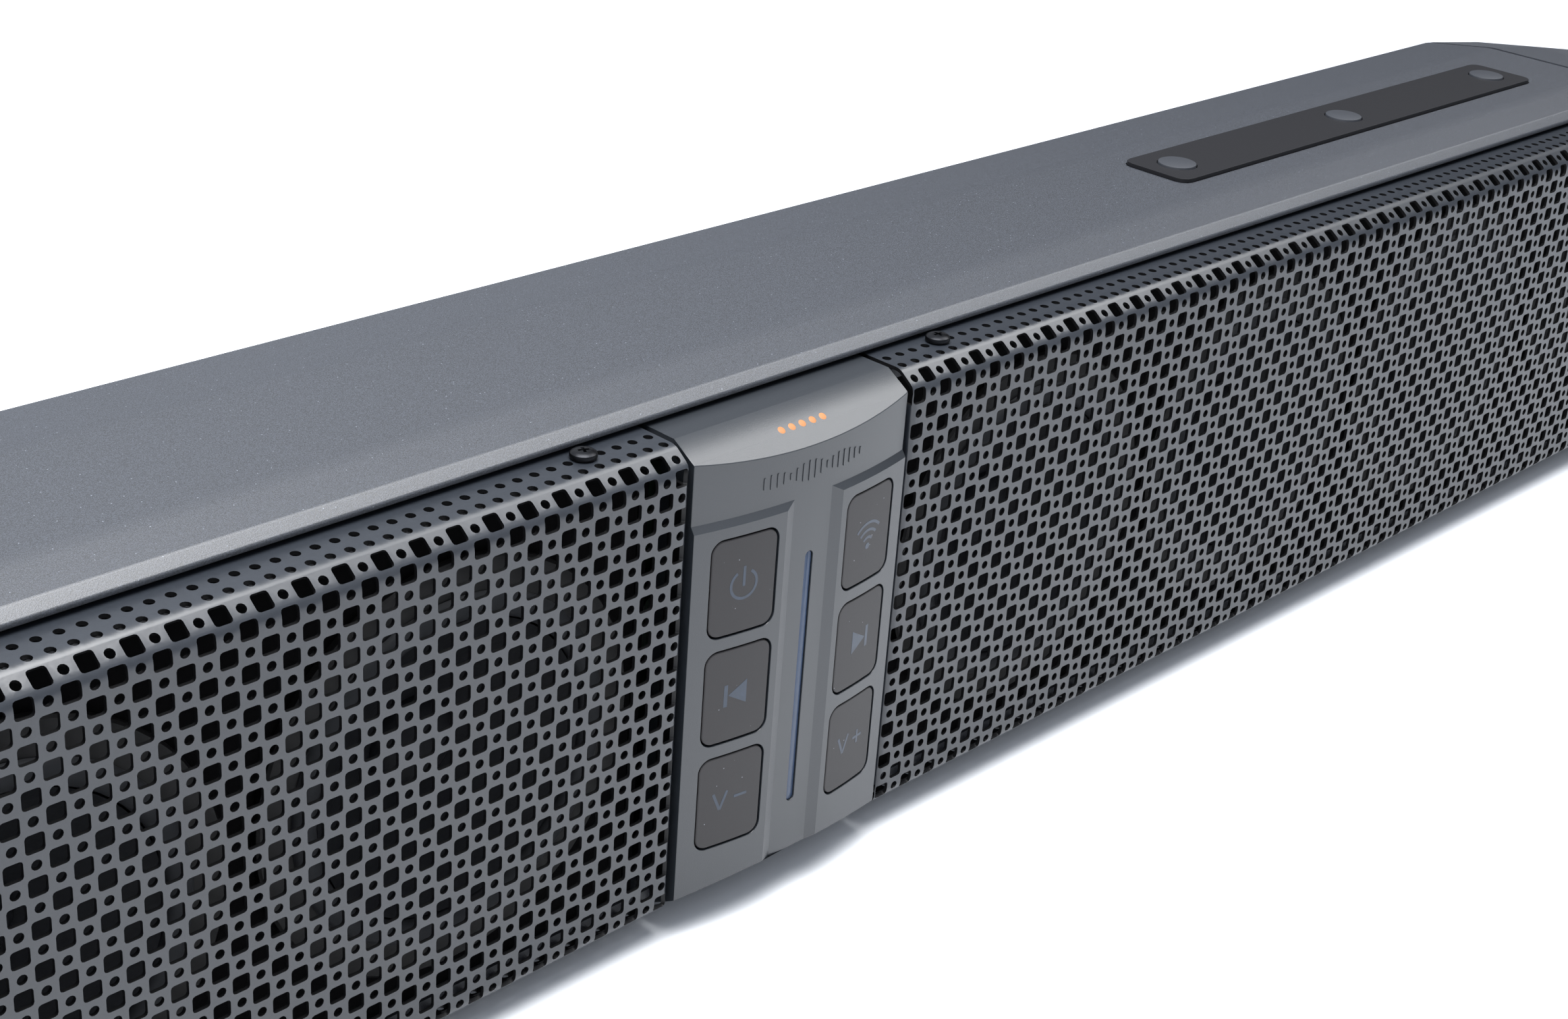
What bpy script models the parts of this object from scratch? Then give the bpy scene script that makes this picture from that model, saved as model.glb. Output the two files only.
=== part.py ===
"""A powered soundbar for a vehicle's roll cage, modelled as it is put together.

An extruded aluminium housing is open at the front. Two perforated steel grilles and a moulded
control panel close it, and a moulded cap closes each end. Inside are six woofers and two tweeters
on two baffles, and the amplifier in a bay of its own behind the control panel.

X runs along the bar, -Y is the front and +Z is up. The origin is the middle of the flat underside,
halfway between the grille's face and the back wall. Units are metres.
"""

import math

import bmesh
import bpy
from mathutils import Matrix

# --- Driving dimensions -------------------------------------------------------------------------
LENGTH = 0.900
DEPTH = 0.090  # from the grille's face to the back wall
HEIGHT = 0.1164
GAP = 0.0003  # between pieces that touch

# Housing: one extrusion, open at the front
WALL = 0.0022
CAP_LENGTH = 0.075
LIP_SETBACK = 0.0136  # the lip's face, behind the grille's face
LIP_DEPTH = 0.0042  # from the top surface down to the lip's lower edge
LIP_FACE = 0.0011
LIP_BEVEL_RUN = 0.0024
LIP_BEVEL_RISE = 0.0018
FRONT_CREASE = 0.0268  # where the top turns flat, behind the grille's face
BACK_SLOPE_RUN = 0.0245
BACK_SLOPE_DROP = 0.0036
BACK_CORNER_RADIUS = 0.004
RIB_SETBACK = 0.0220  # the rib that carries the grille's shelf
SHELF_SETBACK = 0.0070

# Grilles: steel sheet, bent at the top and the bottom
SHEET = 0.0008
GRILLE_DROP = 0.0052  # the grille's flange, below the top surface
SHOULDER_RUN = 0.0046
SHOULDER_RISE = 0.0034
BEND_RADIUS = 0.0035
FLANGE_DEPTH = 0.0200
GRILLE_TO_PANEL = 0.0015
GRILLE_TO_CAP = 0.0010
GRILLE_SCREW_SETBACK = 0.0102
GRILLE_SCREW_INSET = 0.0180  # from the grille's end
GRILLE_SCREW_HEAD = 0.0027
GRILLE_SCREW_HEAD_HEIGHT = 0.0019
GRILLE_SCREW_SHANK = 0.0014
GRILLE_SCREW_LENGTH = 0.0034

# Control panel
PANEL_WIDTH = 0.0604
PANEL_BULGE = 0.0036  # how far its middle stands in front of its sides
PANEL_EDGE_SETBACK = 0.0006
PANEL_SHELL = 0.0022
PANEL_CHAMFER_RUN = 0.0065
PANEL_CHAMFER_RISE = 0.0039
PANEL_BACK = 0.0064
PAD_RISE = 0.0010  # the two raised fields that hold the buttons
PAD_TOP_DROP = 0.0208  # from the top surface down to the raised fields
CHANNEL_WIDTH = 0.0144  # between the two raised fields
BUTTON_SIDE_MARGIN = 0.0044
BUTTON_CHANNEL_MARGIN = 0.0029
BUTTON_TOP_MARGIN = 0.0050
BUTTON_BOTTOM_MARGIN = 0.0148
BUTTON_SPACING = 0.0035
BUTTON_RADIUS = 0.0024
BUTTON_BACK = 0.0036
BUTTON_SKIRT = 0.0008
BUTTON_SKIRT_THICKNESS = 0.0011
BUTTON_TRAVEL = 0.0008
BUTTON_ROWS = 3
LIGHT_STRIP_WIDTH = 0.0020
LIGHT_STRIP_TOP_DROP = 0.0346
LIGHT_STRIP_BOTTOM_RISE = 0.0230
LIGHT_STRIP_THICKNESS = 0.0030
STATUS_LIGHTS = 5
STATUS_LIGHT_RADIUS = 0.0009
STATUS_LIGHT_PITCH = 0.0029
STATUS_LIGHT_LENGTH = 0.0062
STATUS_LIGHT_SHARE = 0.75  # how far down the chamfer they sit

# Electronics behind the control panel
MEMBRANE = 0.0010
BOARD = 0.0016
SWITCH_SIZE = 0.0060
SWITCH_HEIGHT = 0.0016
CONTROL_BOARD_MARGIN = 0.0040
AMPLIFIER_SETBACK = 0.0560
AMPLIFIER_MARGIN = 0.0060
HEATSINK_BASE = 0.0040
HEATSINK_FINS = 7
HEATSINK_FIN_WIDTH = 0.0016
HEATSINK_HEIGHT = 0.0480
CAPACITOR_RADIUS = 0.0062
CAPACITOR_HEIGHT = 0.0200
CAPACITORS = 4
CHOKE_RADIUS = 0.0090
CHOKE_HEIGHT = 0.0090

# Speaker chambers
BULKHEAD = 0.0024
BULKHEAD_TO_PANEL = 0.0036
BAFFLE_SETBACK = 0.0090
BAFFLE = 0.0030
WOOFERS_PER_SIDE = 3
WOOFER_EDGE_MARGIN = 0.0054
WOOFER_SPACING = 0.0060
TWEETER_BAY = 0.0600
FRAME_FLANGE = 0.0020
FRAME_RING = 0.0090
FRAME_SHELL = 0.0014
SURROUND_WIDTH = 0.0050
SURROUND_ROLL = 0.0018
DUST_CAP_SHARE = 0.45
CONE_SHELL = 0.0008
CONE_CLEARANCE = 0.0004
COIL_RADIUS = 0.0095
CONE_DEPTH = 0.0130
FRAME_DEPTH = 0.0240
MAGNET_RADIUS = 0.0240
MAGNET_DEPTH = 0.0120
YOKE = 0.0030
TWEETER_RADIUS = 0.0240
TWEETER_BODY_RADIUS = 0.0170
TWEETER_DEPTH = 0.0140
TWEETER_DOME_RADIUS = 0.0110

# End caps
CAP_SHELL = 0.0026
GASKET = 0.0012
GASKET_WIDTH = 0.0024
CAP_BACK_TAPER = (0.0200, 0.0094)  # linear and square share of the back's taper
CAP_TOP_TAPER = (0.0020, 0.0110)
CAP_FRONT_TAPER = 0.0140
CAP_STEPS = 6
END_PLATE = 0.0030
CAP_SCREW_SHANK = 0.0018
CAP_SCREW_SPREAD_Y = 0.0240
CAP_SCREW_SPREAD_Z = 0.0480
CAP_BOSS_WALL = 0.0020
CAP_BOSS_DEPTH = 0.0160

# Mounting points on the top
MOUNT_PLATE_LENGTH = 0.1760
MOUNT_PLATE_WIDTH = 0.0200
MOUNT_PLATE_RADIUS = 0.0030
MOUNT_PLATE_THICKNESS = 0.0017
MOUNT_PLATE_RECESS = 0.0010
MOUNT_PLATE_INSET = 0.0260  # from the housing's end
MOUNT_PITCH = 0.0780
PLUG_RADIUS = 0.0050
PLUG_RISE = 0.0005
NUT_BAR_THICKNESS = 0.0050
NUT_BAR_WIDTH = 0.0160
NUT_BAR_OVERHANG = 0.0120
MOUNT_THREAD_RADIUS = 0.0034

# Connectors on the back
INLET_X = 0.0150
INLET_BELOW_MIDDLE = 0.0280
INLET_FLANGE_RADIUS = 0.0125
INLET_FLANGE = 0.0022
INLET_BARREL_RADIUS = 0.0080
INLET_BARREL_LENGTH = 0.0130
INLET_CAP_RADIUS = 0.0095
INLET_CAP_LENGTH = 0.0090

SPEAKER_ROUND = 16
SMALL_ROUND = 16
FINE_ROUND = 8

# --- Places worked out from the driving dimensions ----------------------------------------------
FRONT = -DEPTH / 2
BACK = DEPTH / 2
MIDDLE = HEIGHT / 2
HOUSING_HALF = LENGTH / 2 - CAP_LENGTH
PANEL_HALF = PANEL_WIDTH / 2
GRILLE_INNER = PANEL_HALF + GRILLE_TO_PANEL
GRILLE_OUTER = HOUSING_HALF - GRILLE_TO_CAP
FLANGE_TOP = MIDDLE - GRILLE_DROP  # heights from here on are measured from the middle
SHELF_TOP = FLANGE_TOP - SHEET - GAP
SHELF_BOTTOM = SHELF_TOP - WALL
LIP_BOTTOM = MIDDLE - LIP_DEPTH
INSIDE_TOP = MIDDLE - WALL
CLEAR_HALF = SHELF_BOTTOM - GAP
BAFFLE_FRONT = FRONT + BAFFLE_SETBACK
BAFFLE_BACK = BAFFLE_FRONT + BAFFLE
BULKHEAD_INNER = PANEL_HALF + BULKHEAD_TO_PANEL
CHAMBER_START = BULKHEAD_INNER + BULKHEAD + GAP
CHAMBER_END = HOUSING_HALF - END_PLATE - 2 * GAP
WOOFER_BAY = (CHAMBER_END - CHAMBER_START - TWEETER_BAY) / WOOFERS_PER_SIDE
WOOFER_RADIUS = min(CLEAR_HALF - WOOFER_EDGE_MARGIN, (WOOFER_BAY - WOOFER_SPACING) / 2)
PAD_TOP = MIDDLE - PAD_TOP_DROP
PANEL_SIDE_TOP = FLANGE_TOP - PANEL_CHAMFER_RISE
BUTTON_TOP = PAD_TOP - BUTTON_TOP_MARGIN
BUTTON_FIELD_BOTTOM = -PANEL_SIDE_TOP + BUTTON_BOTTOM_MARGIN - PANEL_CHAMFER_RISE
BUTTON_HEIGHT = (BUTTON_TOP - BUTTON_FIELD_BOTTOM - (BUTTON_ROWS - 1) * BUTTON_SPACING) / BUTTON_ROWS
BUTTON_INNER = CHANNEL_WIDTH / 2 + BUTTON_CHANNEL_MARGIN
BUTTON_WIDTH = PANEL_HALF - BUTTON_SIDE_MARGIN - BUTTON_INNER
MOUNT_X = HOUSING_HALF - MOUNT_PLATE_INSET - MOUNT_PLATE_LENGTH / 2
MOUNT_Y = (FRONT + FRONT_CREASE + BACK - BACK_SLOPE_RUN) / 2

AXIS_ALONG_X = Matrix(((0, 0, 1), (1, 0, 0), (0, 1, 0))).to_4x4()
AXIS_TO_FRONT = Matrix.Rotation(math.radians(90), 4, "X")
AXIS_TO_BACK = Matrix.Rotation(math.radians(-90), 4, "X")


# --- Modelling helpers --------------------------------------------------------------------------
def start_scene():
    for obj in list(bpy.data.objects):
        bpy.data.objects.remove(obj)
    made = []
    for name in ("soundbar", "cutters"):
        collection = bpy.data.collections.new(name)
        bpy.context.scene.collection.children.link(collection)
        made.append(collection)
    return made


PARTS, CUTTERS = start_scene()


def finish(name, colour, roughness, metallic=0.0):
    """A painted, moulded or metal finish."""
    material = bpy.data.materials.new(name)
    material.use_nodes = True
    shader = material.node_tree.nodes["Principled BSDF"]
    shader.inputs["Base Color"].default_value = (*colour, 1.0)
    shader.inputs["Roughness"].default_value = roughness
    shader.inputs["Metallic"].default_value = metallic
    material.diffuse_color = (*colour, 1.0)
    return material


GREY_PAINT = finish("grey_textured_paint", (0.17, 0.18, 0.20), 0.55, 0.3)
GREY_ABS = finish("grey_moulded_abs", (0.13, 0.14, 0.155), 0.5)
BLACK_ABS = finish("black_moulded_abs", (0.02, 0.02, 0.022), 0.55)
STEEL_PAINT = finish("painted_steel_sheet", (0.15, 0.16, 0.18), 0.4, 0.4)
BUTTON_RUBBER = finish("button_rubber", (0.09, 0.088, 0.09), 0.6)
SEAL_RUBBER = finish("black_rubber", (0.015, 0.015, 0.015), 0.8)
SCREW_STEEL = finish("black_screw_steel", (0.08, 0.08, 0.08), 0.3, 0.9)
LIGHT_GUIDE = finish("clear_light_guide", (0.20, 0.26, 0.36), 0.25)
AMBER_GUIDE = finish("amber_light_guide", (0.90, 0.62, 0.32), 0.4)
CONE_PULP = finish("treated_paper_cone", (0.025, 0.025, 0.028), 0.6)
CIRCUIT_BOARD = finish("circuit_board", (0.01, 0.09, 0.04), 0.5)
PLAIN_ALUMINIUM = finish("plain_aluminium", (0.60, 0.61, 0.63), 0.4, 1.0)


def add(name, mesh, material=None, cutter=False):
    """An object for this mesh, in the parts' collection or among the cutters."""
    obj = bpy.data.objects.new(name, mesh)
    (CUTTERS if cutter else PARTS).objects.link(obj)
    if cutter:
        obj.hide_render = True
        obj.display_type = "WIRE"
    if material:
        mesh.materials.clear()
        mesh.materials.append(material)
        mesh.shade_smooth()
        mesh.set_sharp_from_angle(angle=math.radians(35))
    return obj


def mesh_from(name, bm):
    mesh = bpy.data.meshes.new(name)
    bm.to_mesh(mesh)
    bm.free()
    return mesh


def box(low, high):
    """A block between two corners."""
    bm = bmesh.new()
    bmesh.ops.create_cube(bm, size=1.0)
    size = [h - l for l, h in zip(low, high)]
    centre = [(h + l) / 2 for l, h in zip(low, high)]
    bmesh.ops.scale(bm, vec=size, verts=bm.verts)
    bmesh.ops.translate(bm, vec=centre, verts=bm.verts)
    return bm


def rod(radius, length, place=(0, 0, 0), turn=None, sides=SMALL_ROUND):
    """A cylinder that starts at place and runs along its axis, +Z unless turned."""
    bm = bmesh.new()
    bmesh.ops.create_cone(
        bm, cap_ends=True, segments=sides, radius1=radius, radius2=radius, depth=length
    )
    bmesh.ops.translate(bm, vec=(0, 0, length / 2), verts=bm.verts)
    if turn is not None:
        bmesh.ops.transform(bm, matrix=turn, verts=bm.verts)
    bmesh.ops.translate(bm, vec=place, verts=bm.verts)
    return bm


def outline(points, thickness, matrix):
    """A flat closed outline, thickened evenly to both sides of its plane."""
    curve = bpy.data.curves.new("outline", "CURVE")
    curve.dimensions = "2D"
    curve.fill_mode = "BOTH"
    curve.extrude = thickness / 2
    spline = curve.splines.new("POLY")
    spline.points.add(len(points) - 1)
    for point, (a, b) in zip(spline.points, points):
        point.co = (a, b, 0, 1)
    spline.use_cyclic_u = True
    holder = bpy.data.objects.new("outline", curve)
    CUTTERS.objects.link(holder)
    bpy.context.view_layer.update()
    graph = bpy.context.evaluated_depsgraph_get()
    mesh = bpy.data.meshes.new_from_object(holder.evaluated_get(graph))
    bpy.data.objects.remove(holder)
    bm = bmesh.new()
    bm.from_mesh(mesh)
    bpy.data.meshes.remove(mesh)
    bmesh.ops.remove_doubles(bm, verts=bm.verts, dist=1e-6)
    bmesh.ops.transform(bm, matrix=matrix, verts=bm.verts)
    return bm


def turned(name, profile, material, place, turn=AXIS_TO_FRONT, steps=SPEAKER_ROUND, closed=True):
    """A profile of (radius, height) points, turned about its axis."""
    bm = bmesh.new()
    verts = [bm.verts.new((r, 0, z)) for r, z in profile]
    for a, b in zip(verts, verts[1:]):
        bm.edges.new((a, b))
    if closed:
        bm.edges.new((verts[-1], verts[0]))
    mesh = mesh_from(name, bm)
    obj = add(name, mesh, material)
    screw = obj.modifiers.new("turn", "SCREW")
    screw.steps = steps
    screw.render_steps = steps
    screw.use_merge_vertices = True
    screw.merge_threshold = 0.00002
    obj.matrix_world = Matrix.Translation(place) @ turn
    return obj


def boolean(obj, bm, operation="DIFFERENCE"):
    """Cuts this shape from obj, joins it on, or keeps what they share."""
    cutter = add(f"{obj.name}_{operation.lower()}", mesh_from("cutter", bm), cutter=True)
    modifier = obj.modifiers.new(operation.lower(), "BOOLEAN")
    modifier.operation = operation
    modifier.object = cutter
    return obj


def arc(centre, radius, start, end, steps):
    """Points on a circle, from one angle to another, in degrees."""
    points = []
    for i in range(steps + 1):
        angle = math.radians(start + (end - start) * i / steps)
        points.append((centre[0] + radius * math.cos(angle), centre[1] + radius * math.sin(angle)))
    return points


def rounded_rectangle(width, height, radius, steps=3):
    half_w = width / 2 - radius
    half_h = height / 2 - radius
    corners = ((half_w, half_h, 0), (-half_w, half_h, 90), (-half_w, -half_h, 180), (half_w, -half_h, 270))
    points = []
    for x, y, start in corners:
        points += arc((x, y), radius, start, start + 90, steps)
    return points


def mirrored(half):
    """A closed outline from its upper half, listed from front to back."""
    return half + [(y, -z) for y, z in reversed(half)]


def at_middle(y=0.0, x=0.0):
    """The frame for a (y, z) outline that is thickened along X about this place."""
    return Matrix.Translation((x, y, MIDDLE)) @ AXIS_ALONG_X


# --- Housing ------------------------------------------------------------------------------------
def back_corner(radius, inset=0.0):
    """The rounded edge between the top's back slope and the back wall."""
    slope = math.degrees(math.atan2(BACK_SLOPE_DROP, BACK_SLOPE_RUN))
    turn = math.radians(90 - slope)
    edge_top = MIDDLE - BACK_SLOPE_DROP - inset
    centre = (BACK - inset - radius, edge_top - radius * math.tan(turn / 2))
    return arc(centre, radius, 90 - slope, 0, 4)


def top_skin():
    """The outside of the upper half, from the lip's lower edge to the back wall."""
    lip = FRONT + LIP_SETBACK
    return [
        (lip, LIP_BOTTOM),
        (lip, LIP_BOTTOM + LIP_FACE),
        (lip + LIP_BEVEL_RUN, LIP_BOTTOM + LIP_FACE + LIP_BEVEL_RISE),
        (FRONT + FRONT_CREASE, MIDDLE),
        (BACK - BACK_SLOPE_RUN, MIDDLE),
        *back_corner(BACK_CORNER_RADIUS),
    ]


def inside_half(clearance=0.0):
    """The inside of the upper half, from the shelf's front edge to the back wall."""
    rib = FRONT + RIB_SETBACK + WALL + clearance
    inner = WALL + clearance
    return [
        (FRONT + SHELF_SETBACK + clearance, SHELF_BOTTOM - clearance),
        (rib, SHELF_BOTTOM - clearance),
        (rib, MIDDLE - inner),
        (BACK - BACK_SLOPE_RUN, MIDDLE - inner),
        *back_corner(BACK_CORNER_RADIUS - WALL, inner),
    ]


def make_housing():
    shelf = [
        (FRONT + RIB_SETBACK, LIP_BOTTOM),
        (FRONT + RIB_SETBACK, SHELF_TOP),
        (FRONT + SHELF_SETBACK, SHELF_TOP),
    ]
    inside = inside_half()
    upper = list(reversed(inside)) + list(reversed(shelf)) + top_skin()
    lower = [(y, -z) for y, z in reversed(upper)]
    bm = outline(upper + lower, 2 * HOUSING_HALF, at_middle())
    housing = add("housing", mesh_from("housing", bm), GREY_PAINT)
    for side in (-1, 1):
        centre = (side * MOUNT_X, MOUNT_Y)
        points = rounded_rectangle(
            MOUNT_PLATE_LENGTH + 2 * GAP, MOUNT_PLATE_WIDTH + 2 * GAP, MOUNT_PLATE_RADIUS + GAP
        )
        recess = outline(
            points, 2 * MOUNT_PLATE_RECESS, Matrix.Translation((*centre, HEIGHT))
        )
        boolean(housing, recess)
        half = MOUNT_PITCH + NUT_BAR_OVERHANG
        low_corner = (centre[0] - half, MOUNT_Y - NUT_BAR_WIDTH / 2, HEIGHT - WALL - NUT_BAR_THICKNESS)
        high_corner = (centre[0] + half, MOUNT_Y + NUT_BAR_WIDTH / 2, HEIGHT - WALL / 2 - GAP)
        boolean(housing, box(low_corner, high_corner), "UNION")
        for step in (-1, 0, 1):
            place = (centre[0] + step * MOUNT_PITCH, centre[1], HEIGHT - WALL)
            boolean(housing, rod(PLUG_RADIUS + GAP, 3 * WALL, place))
            place = (centre[0] + step * MOUNT_PITCH, centre[1], HEIGHT - 4 * NUT_BAR_THICKNESS)
            boolean(housing, rod(MOUNT_THREAD_RADIUS, 5 * NUT_BAR_THICKNESS, place))
        inlet = (side * INLET_X, BACK - 2 * WALL, MIDDLE - INLET_BELOW_MIDDLE)
        boolean(housing, rod(INLET_BARREL_RADIUS + GAP, 4 * WALL, inlet, AXIS_TO_BACK, SMALL_ROUND))
    for x in screw_places():
        for end in (-1, 1):
            low = MIDDLE + end * (SHELF_TOP + SHELF_BOTTOM) / 2 - WALL
            place = (x, FRONT + GRILLE_SCREW_SETBACK, low)
            boolean(housing, rod(GRILLE_SCREW_SHANK + GAP, 2 * WALL, place, sides=FINE_ROUND))
    return housing


def screw_places():
    """Where the grilles' screws are along the bar."""
    near = GRILLE_INNER + GRILLE_SCREW_INSET
    far = GRILLE_OUTER - GRILLE_SCREW_INSET
    return [-far, -near, near, far]


# --- Grilles ------------------------------------------------------------------------------------
def grille_path():
    """The outer surface of the bent sheet's upper half, from the front's middle to the flange."""
    slope = math.atan2(SHOULDER_RISE, SHOULDER_RUN)
    lower_turn = math.pi / 2 - slope
    radius = BEND_RADIUS
    corner = FLANGE_TOP - SHOULDER_RISE
    lower_centre = (FRONT + radius, corner - radius * math.tan(lower_turn / 2))
    upper_centre = (FRONT + SHOULDER_RUN + radius * math.tan(slope / 2), FLANGE_TOP - radius)
    tilt = 90 + math.degrees(slope)
    return (
        arc(lower_centre, radius, 180, tilt, 4)
        + arc(upper_centre, radius, tilt, 90, 3)
        + [(FRONT + FLANGE_DEPTH, FLANGE_TOP)]
    )


def make_grille(name, side):
    half = grille_path()
    path = [(y, -z) for y, z in reversed(half)] + half
    bm = bmesh.new()
    low, high = sorted((side * GRILLE_INNER, side * GRILLE_OUTER))
    verts = [bm.verts.new((low, y, MIDDLE + z)) for y, z in path]
    edges = [bm.edges.new(pair) for pair in zip(verts, verts[1:])]
    made = bmesh.ops.extrude_edge_only(bm, edges=edges)["geom"]
    moved = [v for v in made if isinstance(v, bmesh.types.BMVert)]
    bmesh.ops.translate(bm, vec=(high - low, 0, 0), verts=moved)
    bmesh.ops.recalc_face_normals(bm, faces=bm.faces)
    if max(bm.faces, key=lambda f: f.calc_area()).normal.y > 0:
        bmesh.ops.reverse_faces(bm, faces=bm.faces)
    grille = add(name, mesh_from(name, bm), STEEL_PAINT)
    solid = grille.modifiers.new("sheet", "SOLIDIFY")
    solid.thickness = SHEET
    solid.offset = -1
    solid.use_even_offset = True
    for x in screw_places():
        if x * side > 0:
            for end in (-1, 1):
                place = (x, FRONT + GRILLE_SCREW_SETBACK, MIDDLE + end * FLANGE_TOP - 2 * SHEET)
                boolean(grille, rod(GRILLE_SCREW_SHANK + GAP, 4 * SHEET, place, sides=FINE_ROUND))
    return grille


def make_grille_screws():
    """Pan-head screws that hold the grilles' flanges to the housing's shelves."""
    number = 0
    for x in screw_places():
        for end, turn in ((1, Matrix.Identity(4)), (-1, Matrix.Rotation(math.pi, 4, "X"))):
            number += 1
            seat = MIDDLE + end * (FLANGE_TOP + GAP)
            place = (x, FRONT + GRILLE_SCREW_SETBACK, seat)
            profile = [
                (0, GRILLE_SCREW_HEAD_HEIGHT),
                (GRILLE_SCREW_HEAD * 0.6, GRILLE_SCREW_HEAD_HEIGHT * 0.92),
                (GRILLE_SCREW_HEAD, GRILLE_SCREW_HEAD_HEIGHT * 0.5),
                (GRILLE_SCREW_HEAD, 0),
                (GRILLE_SCREW_SHANK, 0),
                (GRILLE_SCREW_SHANK, -GRILLE_SCREW_LENGTH),
                (0, -GRILLE_SCREW_LENGTH),
            ]
            name = f"grille_screw_{number}"
            turned(name, profile, SCREW_STEEL, place, turn, FINE_ROUND, closed=False)


# --- Control panel ------------------------------------------------------------------------------
def panel_radius():
    """The radius of the arc that the panel's face follows in plan."""
    return (PANEL_HALF**2 + PANEL_BULGE**2) / (2 * PANEL_BULGE)


def panel_arc(rise=0.0, half=PANEL_HALF, steps=12):
    """Plan points of the panel's bowed face, left to right, raised by this much."""
    radius = panel_radius() + rise
    centre = FRONT + PANEL_EDGE_SETBACK - PANEL_BULGE + panel_radius()
    reach = math.degrees(math.asin(half / radius))
    return arc((0, centre), radius, 270 - reach, 270 + reach, steps)


def panel_slab(rise, back, low, high, half=PANEL_HALF):
    """A slab with the panel's bowed face, between two heights from the middle."""
    face = panel_arc(rise, half)
    points = face + [(half, back), (-half, back)]
    return outline(points, high - low, Matrix.Translation((0, 0, MIDDLE + (low + high) / 2)))


def chamfer_cutters():
    """Wedges that slope the panel's face back to the flanges at the top and the bottom."""
    run = PANEL_CHAMFER_RUN
    slope = PANEL_CHAMFER_RISE / run
    reach = run * 3
    wedges = []
    for end in (-1, 1):
        points = [
            (FRONT + run, end * FLANGE_TOP),
            (FRONT + run - reach, end * (FLANGE_TOP - slope * reach)),
            (FRONT + run - reach, end * (FLANGE_TOP + reach)),
            (FRONT + run, end * (FLANGE_TOP + reach)),
        ]
        wedges.append(outline(points, 2 * PANEL_WIDTH, at_middle()))
    return wedges


def button_centres():
    """(name, x, height from the middle) of each button."""
    left = ("power_button", "previous_button", "volume_down_button")
    right = ("wireless_button", "next_button", "volume_up_button")
    places = []
    for names, side in ((left, -1), (right, 1)):
        for row, name in enumerate(names):
            z = BUTTON_TOP - BUTTON_HEIGHT / 2 - row * (BUTTON_HEIGHT + BUTTON_SPACING)
            places.append((name, side * (BUTTON_INNER + BUTTON_WIDTH / 2), z))
    return places


def button_prism(x, z, grow, front, back):
    """A rounded rectangle through the panel, between two depths."""
    points = rounded_rectangle(
        BUTTON_WIDTH + 2 * grow, BUTTON_HEIGHT + 2 * grow, BUTTON_RADIUS + grow
    )
    centre = Matrix.Translation((x, (front + back) / 2, MIDDLE + z))
    return outline(points, back - front, centre @ AXIS_TO_FRONT)


def strip_span():
    """The light strip's lower and upper end, from the middle."""
    return -MIDDLE + LIGHT_STRIP_BOTTOM_RISE, MIDDLE - LIGHT_STRIP_TOP_DROP


def strip_prism(grow, front, back):
    low, high = strip_span()
    points = rounded_rectangle(
        LIGHT_STRIP_WIDTH + 2 * grow, high - low + 2 * grow, LIGHT_STRIP_WIDTH / 2 + grow - 1e-5
    )
    centre = Matrix.Translation((0, (front + back) / 2, MIDDLE + (low + high) / 2))
    return outline(points, back - front, centre @ AXIS_TO_FRONT)


def status_light_frame(x):
    """The frame on the upper chamfer's middle whose +Z goes straight into the panel."""
    slope = math.atan2(PANEL_CHAMFER_RISE, PANEL_CHAMFER_RUN)
    y = FRONT + PANEL_CHAMFER_RUN * (1 - STATUS_LIGHT_SHARE)
    z = MIDDLE + FLANGE_TOP - PANEL_CHAMFER_RISE * STATUS_LIGHT_SHARE
    return Matrix.Translation((x, y, z)) @ Matrix.Rotation(math.pi + slope, 4, "X")


def status_light_rods(grow, sink, length):
    """Short rods across the upper chamfer, one for each status light."""
    rods = []
    for i in range(STATUS_LIGHTS):
        x = (i - (STATUS_LIGHTS - 1) / 2) * STATUS_LIGHT_PITCH
        start = status_light_frame(x) @ Matrix.Translation((0, 0, sink))
        rods.append(rod(STATUS_LIGHT_RADIUS + grow, length, turn=start, sides=FINE_ROUND))
    return rods


def make_panel():
    face_back = FRONT + PANEL_BACK
    bm = panel_slab(0.0, face_back, -FLANGE_TOP, FLANGE_TOP)
    panel = add("control_panel", mesh_from("control_panel", bm), GREY_ABS)
    far = 2 * PANEL_HALF
    for side in (-1, 1):
        pad = panel_slab(PAD_RISE, face_back, -FLANGE_TOP, PAD_TOP, PANEL_HALF)
        keep = box(
            (min(side * CHANNEL_WIDTH / 2, side * far), FRONT - far, 0),
            (max(side * CHANNEL_WIDTH / 2, side * far), BACK, HEIGHT),
        )
        field = add(f"pad_{side}", mesh_from("pad", pad), cutter=True)
        boolean(field, keep, "INTERSECT")
        modifier = panel.modifiers.new("pad", "BOOLEAN")
        modifier.operation = "UNION"
        modifier.object = field
    for wedge in chamfer_cutters():
        boolean(panel, wedge)
    for end in (-1, 1):
        low, high = sorted((end * (FLANGE_TOP - SHEET), end * FLANGE_TOP))
        flange = box(
            (-PANEL_HALF, FRONT + PANEL_CHAMFER_RUN - 2 * GAP, MIDDLE + low),
            (PANEL_HALF, FRONT + FLANGE_DEPTH, MIDDLE + high),
        )
        boolean(panel, flange, "UNION")
    hollow = panel_slab(
        -PANEL_SHELL,
        face_back + WALL,
        -PANEL_SIDE_TOP + PANEL_SHELL,
        PANEL_SIDE_TOP - PANEL_SHELL,
        PANEL_HALF - PANEL_SHELL,
    )
    boolean(panel, hollow)
    for _, x, z in button_centres():
        boolean(panel, button_prism(x, z, GAP, FRONT - 4 * PANEL_SHELL, face_back))
    boolean(panel, strip_prism(GAP, FRONT - 4 * PANEL_SHELL, face_back))
    for hole in status_light_rods(GAP, -STATUS_LIGHT_LENGTH, 2 * STATUS_LIGHT_LENGTH):
        boolean(panel, hole)
    return panel


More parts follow.
